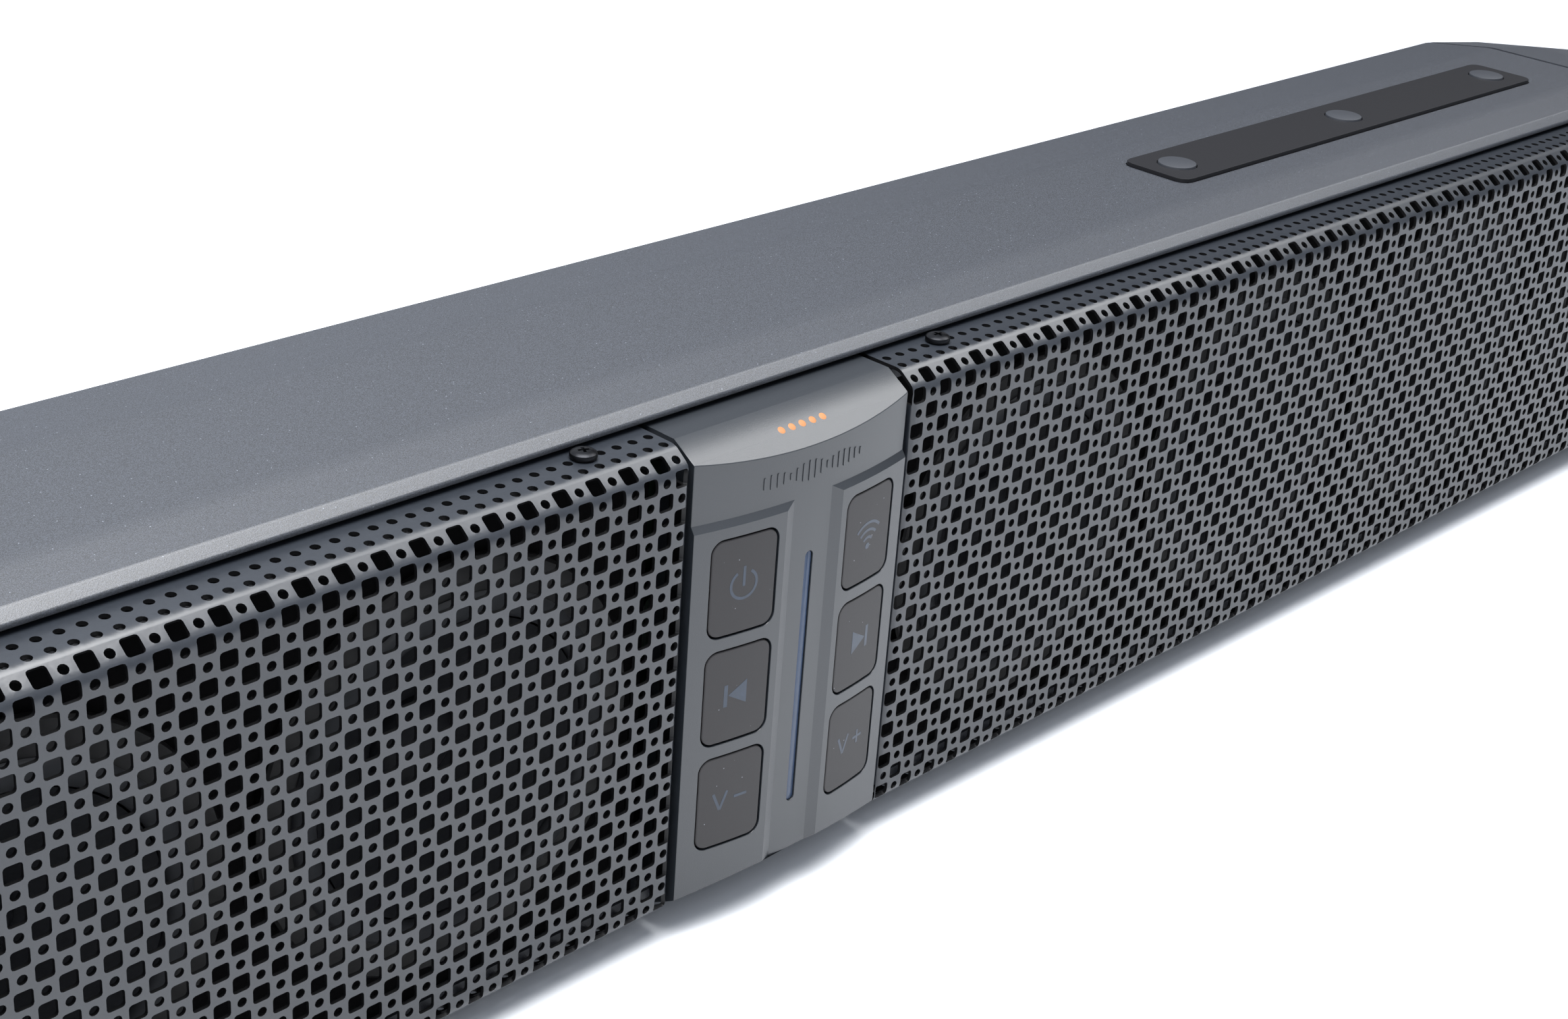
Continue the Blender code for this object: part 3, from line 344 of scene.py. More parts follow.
tree.links.new(bump.outputs["Normal"], shader.inputs["Normal"])

bm = cad_copy("housing")
lips = []
for edge in bm.edges:
    off_middle = abs(edge.verts[0].co.z - MIDDLE)
    if edge.calc_length() > LONG and bend_of(edge) > FOLD and off_middle > LIP_REACH:
        lips.append(edge)
bevel_edges(bm, lips, LIP_ROUND)
creases = []
for edge in bm.edges:
    off_middle = abs(edge.verts[0].co.z - MIDDLE)
    at_top = abs(off_middle - (BAR_HIGH.z - MIDDLE)) < 0.2 * MM
    if edge.calc_length() > LONG and CREASE < bend_of(edge) < FOLD and at_top:
        creases.append(edge)
bevel_edges(bm, creases, CREASE_ROUND, 6)
housing = add_piece("housing_shell", bm, powder_coat)
weigh(housing)
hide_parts("housing")

# --- End caps -----------------------------------------------------------------------------------
# Each end is a die-cast cap in the same coat, which tapers from the housing's section and rounds
# off at its tip. A rubber gasket seals the seam.
TIP_ROUND = 3.0 * MM

for side in ("left", "right"):
    bm = cad_copy(f"end_cap_{side}")
    tip = max(abs(v.co.x) for v in bm.verts)
    rim = [e for e in bm.edges if all(tip - abs(v.co.x) < 0.01 * MM for v in e.verts)]
    bevel_edges(bm, rim, TIP_ROUND, 5)
    cap = add_piece(f"end_cap_{side}_shell", bm, powder_coat, sharp=28)
    weigh(cap)
    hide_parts(f"end_cap_{side}")


def skin_over(tree, shader, size, detail, tones=None, strength=0.0, depth=0.0):
    """A fine grain over a surface, as two tones that mix and a bump of this depth. Its size is
    coarser than a real moulding's or coat's, so that it shows."""
    place = add_node(tree, "ShaderNodeTexCoord").outputs["Object"]
    grain = add_node(tree, "ShaderNodeTexNoise", Vector=place, Scale=1 / size, Detail=detail)
    grain = grain.outputs["Fac"]
    if tones:
        dark, light = [linear(code) for code in tones]
        tone = add_node(tree, "ShaderNodeMixRGB", Fac=grain, Color1=dark, Color2=light)
        tree.links.new(tone.outputs["Color"], shader.inputs["Base Color"])
    if strength:
        bump = add_node(tree, "ShaderNodeBump", Strength=strength, Distance=depth, Height=grain)
        tree.links.new(bump.outputs["Normal"], shader.inputs["Normal"])


# EPDM rubber from a mould: dull, so the seam reads as a soft line and not as a gap.
seal_rubber, tree, shader = new_material("moulded_seal_rubber", "#1F2125", 0.72)
skin_over(tree, shader, 0.4 * MM, 2.0, strength=0.3, depth=0.03 * MM)


def finish_nodes(material, *names):
    """Gives carried-over CAD nodes their material."""
    for name in names:
        mesh = NODES[name].data
        if not mesh.materials:
            mesh.materials.append(material)
        for i in range(len(mesh.materials)):
            mesh.materials[i] = material


finish_nodes(seal_rubber, "end_cap_gasket_left", "end_cap_gasket_right")

# --- Mounting pads ------------------------------------------------------------------------------
# Two black plates lie in shallow recesses on the top. Each has three threaded points for a
# clamp, closed by flat round plugs.
PLATE_ROUND = 0.25 * MM
PLUG_RIM = 0.35 * MM
PLUG_CROWN = 0.02 * MM

# Moulded ABS with a satin skin: a neutral black, flatter and darker than the coat around it.
plate_abs, tree, shader = new_material(
    "satin_moulded_abs", "#0F0F12", 0.55, Specular_IOR_Level=0.3
)
skin_over(tree, shader, 0.35 * MM, 3.0, ("#0C0C0F", "#131317"), 0.4, 0.03 * MM)

# Moulded rubber: matt and a shade greyer than the plate, so that the plugs read as soft discs.
plug_rubber, tree, shader = new_material("grey_plug_rubber", "#23262C", 0.6)
skin_over(tree, shader, 0.5 * MM, 2.0, strength=0.4, depth=0.04 * MM)


def spin_profile(profile, segments=48):
    """A (radius, height) profile turned once about +Z, as a closed body."""
    bm = bmesh.new()
    verts = [bm.verts.new((r, 0, z)) for r, z in profile]
    edges = [bm.edges.new(pair) for pair in zip(verts, verts[1:])]
    bmesh.ops.spin(
        bm,
        geom=verts + edges,
        axis=(0, 0, 1),
        cent=(0, 0, 0),
        angle=math.tau,
        steps=segments,
        use_merge=True,
        use_duplicate=False,
    )
    bmesh.ops.remove_doubles(bm, verts=bm.verts, dist=WELD)
    bmesh.ops.recalc_face_normals(bm, faces=bm.faces)
    return bm


def move(bm, place, turn=None):
    """Turns a mesh about the origin, and then moves it to a place."""
    matrix = Matrix.Translation(place) @ (turn or Matrix.Identity(4))
    bmesh.ops.transform(bm, matrix=matrix, verts=bm.verts)
    return bm


for side in ("left", "right"):
    bm = cad_copy(f"mount_plate_{side}")
    top = max(v.co.z for v in bm.verts)
    edges = [e for e in bm.edges if all(top - v.co.z < 0.01 * MM for v in e.verts)]
    bevel_edges(bm, [e for e in edges if bend_of(e) > 45], PLATE_ROUND, 2)
    plate = add_piece(f"mount_plate_{side}_moulding", bm, plate_abs)
    weigh(plate)
    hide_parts(f"mount_plate_{side}")
    for number in (1, 2, 3):
        node = f"mount_plug_{side}_{number}"
        low, high = corners(node)
        radius = (high.x - low.x) / 2
        tall = high.z - low.z
        stem = radius * 0.6
        profile = [
            (0, 0),
            (stem, 0),
            (stem, tall * 0.5),
            (radius, tall * 0.5),
            (radius, tall - PLUG_RIM),
            (radius - PLUG_RIM * 0.3, tall - PLUG_RIM * 0.3),
            (radius - PLUG_RIM, tall),
            (0, tall + PLUG_CROWN),
        ]
        bm = move(spin_profile(profile), ((low.x + high.x) / 2, (low.y + high.y) / 2, low.z))
        plug = add_piece(f"{node}_disc", bm, plug_rubber)
        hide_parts(node)

# --- Grilles ------------------------------------------------------------------------------------
# Steel sheet punched with large rounded squares and small rounds, turn about, then folded at the
# top, the bottom and the side next to the control panel, and painted a cool satin grey.
PITCH = 4.0 * MM
SHEET = 0.8 * MM
SQUARE = 3.5 * MM
SQUARE_CORNER = 0.62 * MM
ROUND_HOLE = 1.95 * MM
FIRST_COLUMN = 1.9 * MM  # from the grille's inner edge
ROWS = 13  # rows of mixed holes on each side of the middle row
FLANGE_ROWS = 2
SHOULDER_RUN = 4.6 * MM
SHOULDER_RISE = 3.4 * MM
BEND = 3.5 * MM
SIDE_BEND = 1.2 * MM
SIDE_DEPTH = 3.6 * MM
SIDE_FADE = 2.5 * MM  # the side's fold runs out over this much at the upper and lower folds
FLANGE_STRETCH = 0.075  # how much further apart the holes are on the flanges
END_MARGIN = 2 * MM  # plain sheet beyond the last column

# Wet paint on steel: smooth, with a faint orange peel, so the webs shine a cool even grey.
grille_paint, tree, shader = new_material(
    "satin_grille_paint", "#20242A", 0.32, Specular_IOR_Level=0.6
)
skin_over(tree, shader, 1.1 * MM, 2.0, ("#1D2025", "#24282E"), 0.35, 0.05 * MM)

# Painted shade: the holes' walls and the sheet's back get a near-black paint that stands in for
# the shade inside the holes, so the holes look deep.
hole_wall_painted_shade, tree, shader = new_material(
    "painted_shade_hole_walls", "#060607", 0.5, Specular_IOR_Level=0.3
)
skin_over(tree, shader, 0.6 * MM, 2.0, ("#040405", "#0A0A0C"))


def punched_tile(square):
    """One pitch of flat sheet with its hole, centred on the origin."""
    bm = bmesh.new()
    if square:
        bmesh.ops.create_grid(bm, x_segments=1, y_segments=1, size=SQUARE / 2)
        bmesh.ops.bevel(
            bm,
            geom=bm.verts[:],
            offset=SQUARE_CORNER,
            offset_type="OFFSET",
            segments=2,
            profile=0.5,
            affect="VERTICES",
            material=-1,
        )
        bmesh.ops.delete(bm, geom=bm.faces[:], context="FACES_ONLY")
    else:
        bmesh.ops.create_circle(bm, radius=ROUND_HOLE / 2, segments=12)
    border = bmesh.ops.create_grid(bm, x_segments=1, y_segments=1, size=PITCH / 2)["verts"]
    faces = {f for v in border for f in v.link_faces}
    bmesh.ops.delete(bm, geom=list(faces), context="FACES_ONLY")
    bmesh.ops.triangle_fill(bm, edges=bm.edges[:], use_beauty=True)
    return bm


def verts_in(geom):
    return [g for g in geom if isinstance(g, bmesh.types.BMVert)]


def repeat(bm, geom, offset, count):
    """Copies this geometry count - 1 times, each one offset further."""
    for number in range(1, count):
        copy = bmesh.ops.duplicate(bm, geom=geom)["geom"]
        bmesh.ops.translate(bm, vec=Vector(offset) * number, verts=verts_in(copy))


def take_in(bm, part):
    """Adds a part's mesh to another, and uses the part up."""
    mesh = bpy.data.meshes.new("part")
    part.to_mesh(mesh)
    part.free()
    bm.from_mesh(mesh)
    bpy.data.meshes.remove(mesh)


def cut_across(bm, place, normal, tolerance):
    """Cuts every face where a plane crosses it."""
    bmesh.ops.bisect_plane(
        bm,
        geom=bm.verts[:] + bm.edges[:] + bm.faces[:],
        dist=tolerance,
        plane_co=place,
        plane_no=normal,
    )


def punched_sheet(columns):
    """The flat sheet: x counts from the inner edge and y from the middle row."""
    bm = bmesh.new()
    for column in (0, 1):
        for row in range(-ROWS - FLANGE_ROWS, ROWS + FLANGE_ROWS + 1):
            square = (column + row) % 2 == 0 and abs(row) <= ROWS
            tile = punched_tile(square)
            move(tile, (FIRST_COLUMN + column * PITCH, row * PITCH, 0))
            for v in tile.verts:
                beyond = abs(v.co.y) - (ROWS + 0.5) * PITCH
                if beyond > WELD:
                    v.co.y += math.copysign(beyond * FLANGE_STRETCH, v.co.y)
            take_in(bm, tile)
    pair = bm.verts[:] + bm.edges[:] + bm.faces[:]
    repeat(bm, pair, (2 * PITCH, 0, 0), columns // 2)
    bmesh.ops.remove_doubles(bm, verts=bm.verts, dist=5 * WELD)
    return bm


def fold_sizes(half_height):
    """The fold's parts: the shoulder's slope and the bend below it, as angles, the height where
    the face ends, and the flat length of the shoulder."""
    slope = math.atan2(SHOULDER_RISE, SHOULDER_RUN)
    lower = math.pi / 2 - slope
    front_end = half_height - SHOULDER_RISE - BEND * math.tan(lower / 2)
    incline = math.hypot(SHOULDER_RUN, SHOULDER_RISE)
    incline -= BEND * (math.tan(lower / 2) + math.tan(slope / 2))
    return slope, lower, front_end, incline


def fold_path(distance, half_height):
    """Where a point of the flat sheet ends up, by its distance from the middle row: the place
    (y, z) behind the face and above the middle, and the direction into the bar."""
    slope, lower, front_end, incline = fold_sizes(half_height)
    t = abs(distance)
    sign = 1 if distance >= 0 else -1
    if t <= front_end:
        return 0.0, t * sign, 1.0, 0.0
    t -= front_end
    if t <= BEND * lower:
        angle = t / BEND
        y = BEND * (1 - math.cos(angle))
        z = front_end + BEND * math.sin(angle)
        return y, z * sign, math.cos(angle), -math.sin(angle) * sign
    t -= BEND * lower
    y = BEND * (1 - math.cos(lower))
    z = front_end + BEND * math.sin(lower)
    if t <= incline:
        y += t * math.cos(slope)
        z += t * math.sin(slope)
        return y, z * sign, math.cos(lower), -math.sin(lower) * sign
    y += incline * math.cos(slope)
    z += incline * math.sin(slope)
    t -= incline
    turn = min(t / BEND, slope)
    angle = lower + turn
    y += BEND * (math.cos(lower) - math.cos(angle))
    z += BEND * (math.sin(angle) - math.sin(lower))
    t -= BEND * slope
    if t > 0:
        y += t
    return y, z * sign, math.cos(angle), -math.sin(angle) * sign


def make_grille(side_name, side):
    """Lays the punched sheet out flat, adds its plain borders, cuts it along the folds, bends it
    and gives it its thickness."""
    node = f"grille_{side_name}"
    low, high = corners(node)
    width = high.x - low.x
    inner = min(abs(low.x), abs(high.x))
    half_height = (high.z - low.z) / 2
    columns = int((width - END_MARGIN) / PITCH) // 2 * 2
    bm = punched_sheet(columns)

    reach = max(v.co.y for v in bm.verts)
    right = max(v.co.x for v in bm.verts)
    left = min(v.co.x for v in bm.verts)

    def border(test):
        return [e for e in bm.edges if e.is_boundary and all(test(v.co) for v in e.verts)]

    def widen(edges, offset, steps=1):
        for _ in range(steps):
            geom = bmesh.ops.extrude_edge_only(bm, edges=edges)["geom"]
            bmesh.ops.translate(bm, vec=Vector(offset) / steps, verts=verts_in(geom))
            edges = [g for g in geom if isinstance(g, bmesh.types.BMEdge)]

    widen(border(lambda c: c.x > right - WELD), (width - right, 0, 0))
    flange = high.y - low.y - fold_path(reach, half_height)[0]
    widen(border(lambda c: c.y > reach - WELD), (0, flange, 0))
    widen(border(lambda c: c.y < WELD - reach), (0, -flange, 0))
    tuck = SIDE_BEND * math.pi / 2 - SIDE_BEND + SIDE_DEPTH - SIDE_BEND
    side_rows = (ROWS - 1) * PITCH - PITCH / 2
    edges = border(lambda c: c.x < left + WELD and abs(c.y) < side_rows + WELD)
    widen(edges, (-SIDE_BEND * 0.8, 0, 0), 3)
    left_now = min(v.co.x for v in bm.verts)
    widen(border(lambda c: c.x < left_now + WELD), (-tuck, 0, 0))

    slope, lower, front_end, incline = fold_sizes(half_height)
    upper_start = front_end + BEND * lower + incline
    cuts = [front_end + BEND * lower * i / 4 for i in range(5)]
    cuts += [upper_start + BEND * slope * i / 3 for i in range(4)]
    for cut_at in cuts:
        for end in (-1, 1):
            cut_across(bm, (0, end * cut_at, 0), (0, 1, 0), WELD / 10)
    for i in range(3):
        cut_across(bm, (SIDE_BEND * (1 - 0.45 * i), 0, 0), (1, 0, 0), WELD / 10)
    bmesh.ops.remove_doubles(bm, verts=bm.verts, dist=2 * WELD)

    for v in bm.verts:
        along, distance = v.co.x, v.co.y
        y, z, in_y, in_z = fold_path(distance, half_height)
        x, sink = along, 0.0
        if along < SIDE_BEND:
            angle = min((SIDE_BEND - along) / SIDE_BEND, math.pi / 2)
            extra = max(0.0, SIDE_BEND - along - SIDE_BEND * math.pi / 2)
            folded_x = SIDE_BEND - SIDE_BEND * math.sin(angle)
            folded_sink = SIDE_BEND * (1 - math.cos(angle)) + extra
            share = 1 - min(1, max(0, (abs(distance) - front_end) / SIDE_FADE))
            x = share * folded_x + (1 - share) * max(along, 0.0)
            sink = share * folded_sink
        v.co = (
            side * (inner + x),
            low.y + y + in_y * sink,
            MIDDLE + z + in_z * sink,
        )
    bmesh.ops.recalc_face_normals(bm, faces=bm.faces)
    facing = sum(f.normal.y * f.calc_area() for f in bm.faces)
    if facing > 0:
        bmesh.ops.reverse_faces(bm, faces=bm.faces)
    piece = add_piece(f"{node}_sheet", bm, grille_paint, sharp=42)
    solid = piece.modifiers.new("sheet", "SOLIDIFY")
    solid.thickness = SHEET
    solid.offset = -1
    # The sheet's back and the holes' walls take the second slot, the painted shade.
    solid.material_offset = 1
    solid.material_offset_rim = 1
    piece.data.materials.append(hole_wall_painted_shade)
    solid.use_even_offset = True
    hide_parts(node)


make_grille("left", -1)
make_grille("right", 1)

# --- Grille screws ------------------------------------------------------------------------------
# Black oxide pan-head machine screws, with a cross recess, pull the flanges down on the housing.
# Each head has a thin turned rim under its dome.
RECESS_REACH = 1.55 * MM
RECESS_WIDTH = 0.62 * MM
RECESS_DEPTH = 1.0 * MM
RECESS_TAPER = 0.45  # how much of its reach the recess keeps at its bottom
HEAD = 1.9 * MM  # as the CAD has it; the dome stays a little under it
DOME = 1.48 * MM

# Steel blackened in hot oxide: a dark metal whose gloss is slightly uneven, so that the dome
# shows one soft highlight.
black_oxide, tree, shader = new_material("black_oxide_steel", "#1C1D20", 0.26, Metallic=0.85)
place = add_node(tree, "ShaderNodeTexCoord").outputs["Object"]
etch = add_node(tree, "ShaderNodeTexNoise", Vector=place, Scale=1 / (0.5 * MM), Detail=3.0)
gloss = add_node(tree, "ShaderNodeMapRange", Value=etch.outputs["Fac"], To_Min=0.24, To_Max=0.42)
tree.links.new(gloss.outputs["Result"], shader.inputs["Roughness"])


def block(low, high):
    """A solid box between two corners, to cut with or to join."""
    bm = bmesh.new()
    bmesh.ops.create_cube(bm, size=1.0)
    size = [h - l for l, h in zip(low, high)]
    bmesh.ops.scale(bm, vec=size, verts=bm.verts)
    return move(bm, [(h + l) / 2 for l, h in zip(low, high)])


def carve(bm, tool, operation="DIFFERENCE"):
    """Cuts one solid with another, joins them or keeps what they share."""
    holders = []
    for number, shape in enumerate((bm, tool)):
        mesh = bpy.data.meshes.new(f"carve_{number}")
        shape.to_mesh(mesh)
        shape.free()
        holder = bpy.data.objects.new(f"carve_{number}", mesh)
        bpy.context.scene.collection.objects.link(holder)
        holders.append(holder)
    modifier = holders[0].modifiers.new("carve", "BOOLEAN")
    modifier.operation = operation
    modifier.object = holders[1]
    graph = bpy.context.evaluated_depsgraph_get()
    result = bpy.data.meshes.new_from_object(holders[0].evaluated_get(graph))
    made = bmesh.new()
    made.from_mesh(result)
    bpy.data.meshes.remove(result)
    for holder in holders:
        mesh = holder.data
        bpy.data.objects.remove(holder)
        bpy.data.meshes.remove(mesh)
    return made


for node in sorted(name for name in NODES if name.startswith("grille_screw")):
    low, high = corners(node)
    up = 1 if low.z > MIDDLE else -1
    radius = (high.x - low.x) / 2
    tall = high.z - low.z
    shank = radius * 0.5
    profile = [
        (0, HEAD - tall),
        (shank, HEAD - tall),
        (shank, 0),
        (radius * 0.96, 0),
        (radius, 0.15 * MM),
        (radius, 0.62 * MM),
        (radius * 0.95, 0.95 * MM),
        (radius * 0.78, 1.25 * MM),
        (radius * 0.5, 1.42 * MM),
        (0, DOME),
    ]
    bm = spin_profile(profile, 32)
    turn = Matrix.Rotation(0.6 + 19 * low.x, 4, "Z")  # each one stops at its own angle
    for angle in (0, math.pi / 2):
        slot = block(
            (-RECESS_REACH, -RECESS_WIDTH / 2, DOME - RECESS_DEPTH),
            (RECESS_REACH, RECESS_WIDTH / 2, DOME + MM),
        )
        for v in slot.verts:
            if v.co.z < DOME:
                v.co.x *= RECESS_TAPER
        bm = carve(bm, move(slot, (0, 0, 0), turn @ Matrix.Rotation(angle, 4, "Z")))
    tip = low.z if up > 0 else high.z
    seat = tip + up * (tall - HEAD)
    centre = ((low.x + high.x) / 2, (low.y + high.y) / 2, seat)
    move(bm, centre, Matrix.Identity(4) if up > 0 else Matrix.Rotation(math.pi, 4, "X"))
    screw = add_piece(f"{node}_pan_head", bm, black_oxide, sharp=30)
    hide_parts(node)

# --- Control panel ------------------------------------------------------------------------------
# One ABS moulding with a finely sparked skin. Its face bows forward between the grilles, two
# raised fields carry the buttons, and sloped chamfers lead back to the flanges.
PANEL_LOW, PANEL_HIGH = corners("control_panel")
PANEL_HALF = (PANEL_HIGH.x - PANEL_LOW.x) / 2
PANEL_TOP = (PANEL_HIGH.z - PANEL_LOW.z) / 2
PAD_RISE = 1.0 * MM
FACE_BULGE = 3.6 * MM
FACE_EDGE = 0.6 * MM
CHAMFER_RUN = 6.5 * MM
CHAMFER_RISE = 3.9 * MM
PANEL_WALL = 2.2 * MM
FLANGE = 1.0 * MM
RAMP = (5.4 * MM, 8.0 * MM)  # the raised field's inner edge, at its foot and at its top
LEDGE = (36.6 * MM, 35.2 * MM)  # its upper edge, above the middle
HOLE_GAP = 0.38 * MM
HOLE_ROUND = 0.22 * MM
BUTTON_CORNER = 2.6 * MM
HOLLOW_BACK = 20 * MM
SHELF_INSET = 0.05 * MM
BOW_STEP = 1.2 * MM
SLAB = 9.0 * MM
OVER = 1.0 * MM  # what is trimmed off above and below
KEY_SKIRT = 0.8 * MM  # the keys' flanges behind the panel, which the CAD keys include
SLOT_GAP = 0.1 * MM
CUT_FRONT, CUT_BACK = -5 * MM, 12 * MM  # the cutters for holes reach through the panel's face
FAR = 0.1  # further out than the panel reaches
SLOPE_ROUND = 0.2 * MM
CHAMFER_ROUND = 0.16 * MM

# ABS from a spark-eroded mould: a grain that is only just felt turns its gloss into a soft satin,
# which goes nearly white on the chamfer under the lamps.
panel_abs, tree, shader = new_material(
    "sparked_abs", "#1E2126", 0.36, Specular_IOR_Level=0.72
)
skin_over(tree, shader, 0.22 * MM, 2.0, ("#1A1D21", "#22262B"), 0.6, 0.03 * MM)


def bow(bm):
    """Bends what was made flat, with the panel's face at y 0, onto the panel's bowed face. Its
    back stays flat."""
    count = int(max(abs(v.co.x) for v in bm.verts) / BOW_STEP)
    for i in range(-count, count + 1):
        cut_across(bm, (i * BOW_STEP, 0, 0), (1, 0, 0), WELD)
    radius = (PANEL_HALF**2 + FACE_BULGE**2) / (2 * FACE_BULGE)
    for v in bm.verts:
        bulge = FACE_BULGE - (radius - math.sqrt(radius**2 - v.co.x**2))
        share = min(1.0, 1.0 - v.co.y / SLAB) if v.co.y < SLAB else 0.0
        v.co.y += FRONT + FACE_EDGE - bulge * share
        v.co.z += MIDDLE
    return bm


def slice_off(bm, place, outward):
    """Removes what lies outside a plane, and closes the cut."""
    made = bmesh.ops.bisect_plane(
        bm,
        geom=bm.verts[:] + bm.edges[:] + bm.faces[:],
        dist=WELD / 10,
        plane_co=place,
        plane_no=outward,
        clear_outer=True,
    )["geom_cut"]
    bmesh.ops.holes_fill(bm, edges=[g for g in made if isinstance(g, bmesh.types.BMEdge)])
    return bm


def prism(points, near, far):
    """A solid with this (x, z) outline, from one depth to another."""
    bm = bmesh.new()
    face = bm.faces.new([bm.verts.new((x, near, z)) for x, z in points])
    made = bmesh.ops.extrude_face_region(bm, geom=[face])["geom"]
    bmesh.ops.translate(bm, vec=(0, far - near, 0), verts=verts_in(made))
    bmesh.ops.recalc_face_normals(bm, faces=bm.faces)
    return bm


def arc_points(x, z, radius, start, end, steps):
    """Points along an arc about (x, z), between two angles in degrees."""
    points = []
    for i in range(steps + 1):
        angle = math.radians(start + (end - start) * i / steps)
        points.append((x + radius * math.cos(angle), z + radius * math.sin(angle)))
    return points


def rounded(x, z, width, height, radius, steps=8):
    """A rectangle's outline with round corners, about its centre."""
    a, b = width / 2 - radius, height / 2 - radius
    points = []
    for corner, (sx, sz) in enumerate(((1, 1), (-1, 1), (-1, -1), (1, -1))):
        start = corner * 90
        points += arc_points(x + sx * a, z + sz * b, radius, start, start + 90, steps)
    return points


def front_rims(bm, lowest=60, highest=120):
    """The outward edges that turn between two angles in degrees, around the parts of a flat
    moulding that face forward."""
    found = []
    for edge in bm.edges:
        if lowest < bend_of(edge) < highest:
            if min(face.normal.y for face in edge.link_faces) < -0.75:
                found.append(edge)
    return found


BUTTONS = {}
for name in (
    "power_button",
    "previous_button",
    "volume_down_button",
    "wireless_button",
    "next_button",
    "volume_up_button",
):
    low, high = corners(name)
    x, z = (low.x + high.x) / 2, (low.z + high.z) / 2 - MIDDLE
    BUTTONS[name] = (x, z, high.x - low.x - 2 * KEY_SKIRT, high.z - low.z - 2 * KEY_SKIRT)
STRIP_LOW, STRIP_HIGH = corners("light_strip")
STRIP_Z = (STRIP_LOW.z + STRIP_HIGH.z) / 2 - MIDDLE
STRIP_WIDTH = STRIP_HIGH.x - STRIP_LOW.x
STRIP_HEIGHT = STRIP_HIGH.z - STRIP_LOW.z
NEARLY_TWO = 2.01  # a width over this is a corner radius that leaves a sliver of straight edge

# The panel starts as a flat slab with two raised fields, which is hollowed behind, trimmed at its
# sides, pierced, rounded at its rims and then bowed.
tall, wide = PANEL_TOP + OVER, PANEL_HALF + OVER
bm = block((-wide, 0, -tall), (wide, SLAB, tall))
for side in (-1, 1):
    pad = block((0, -PAD_RISE, -tall - OVER), (wide + OVER, PAD_RISE, LEDGE[0]))
    for v in pad.verts:
        front = v.co.y < 0
        if v.co.x < PANEL_HALF / 2:
            v.co.x = RAMP[1] if front else 2 * RAMP[0] - RAMP[1]
        if v.co.z > 0:
            v.co.z = LEDGE[1] if front else 2 * LEDGE[0] - LEDGE[1]
        v.co.x *= side
    bmesh.ops.recalc_face_normals(pad, faces=pad.faces)
    bm = carve(bm, pad, "UNION")
hollow_x, hollow_z = PANEL_HALF - PANEL_WALL, PANEL_TOP - CHAMFER_RISE - PANEL_WALL
bm = carve(bm, block((-hollow_x, PANEL_WALL, -hollow_z), (hollow_x, HOLLOW_BACK, hollow_z)))
for side in (-1, 1):
    low, high = sorted((side * PANEL_HALF, side * FAR))
    bm = carve(bm, block((low, -FAR, -FAR), (high, FAR, FAR)))
for x, z, width, height in BUTTONS.values():
    grow = 2 * HOLE_GAP
    outline = rounded(x, z, width + grow, height + grow, BUTTON_CORNER + HOLE_GAP)
    bm = carve(bm, prism(outline, CUT_FRONT, CUT_BACK))
slot_width, slot_height = STRIP_WIDTH + 2 * SLOT_GAP, STRIP_HEIGHT + 2 * SLOT_GAP
outline = rounded(0, STRIP_Z, slot_width, slot_height, slot_width / NEARLY_TWO)
bm = carve(bm, prism(outline, CUT_FRONT, CUT_BACK))
bmesh.ops.remove_doubles(bm, verts=bm.verts, dist=WELD)
bmesh.ops.dissolve_limit(bm, angle_limit=math.radians(0.5), verts=bm.verts, edges=bm.edges)
bevel_edges(bm, front_rims(bm), HOLE_ROUND)
bevel_edges(bm, front_rims(bm, 15, 50), SLOPE_ROUND)
bow(bm)

# Flat shelves go on above and below, and planes trim the ends to the chamfers.
for end in (-1, 1):
    low, high = sorted((MIDDLE + end * (PANEL_TOP - FLANGE), MIDDLE + end * tall))
    side = PANEL_HALF - SHELF_INSET
    shelf = block((-side, FRONT + SLAB - MM, low), (side, PANEL_HIGH.y, high))
    bm = carve(bm, shelf, "UNION")
for end in (-1, 1):
    corner = (0, FRONT + CHAMFER_RUN, MIDDLE + end * PANEL_TOP)
    slice_off(bm, corner, (0, 0, end))
    slice_off(bm, corner, (0, -CHAMFER_RISE, end * CHAMFER_RUN))
bmesh.ops.remove_doubles(bm, verts=bm.verts, dist=2 * WELD)
chamfer_rims = []
chamfer_up = CHAMFER_RUN / math.hypot(CHAMFER_RUN, CHAMFER_RISE)
for edge in bm.edges:
    slopes = [abs(abs(f.normal.z) - chamfer_up) < 0.02 for f in edge.link_faces]
    if any(slopes) and 20 < bend_of(edge) < 100 and edge.verts[0].co.y < FRONT + 5 * MM:
        chamfer_rims.append(edge)
bevel_edges(bm, chamfer_rims, CHAMFER_ROUND, 2, clamp=False)
panel = add_piece("control_panel_moulding", bm, panel_abs, sharp=40, dent=8)
weigh(panel)
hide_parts("control_panel")

# --- Embossed level bars ------------------------------------------------------------------------
# A row of thin bars stands a little proud of the face above the raised fields, like the levels
# of an equaliser. They belong to the same moulding.
LEVEL_BARS = 17
LEVEL_PITCH = 1.7 * MM
LEVEL_WIDTH = 0.5 * MM
LEVEL_RISE = 0.16 * MM
LEVEL_MIDDLE = 42.0 * MM
LEVEL_SHORTEST = 1.5 * MM
LEVEL_SWING = 3.0 * MM
LEVEL_ROUND = 0.08 * MM
LEVEL_ROOT = 0.3 * MM
LEVEL_END = LEVEL_WIDTH / 2.02  # the ends' radius

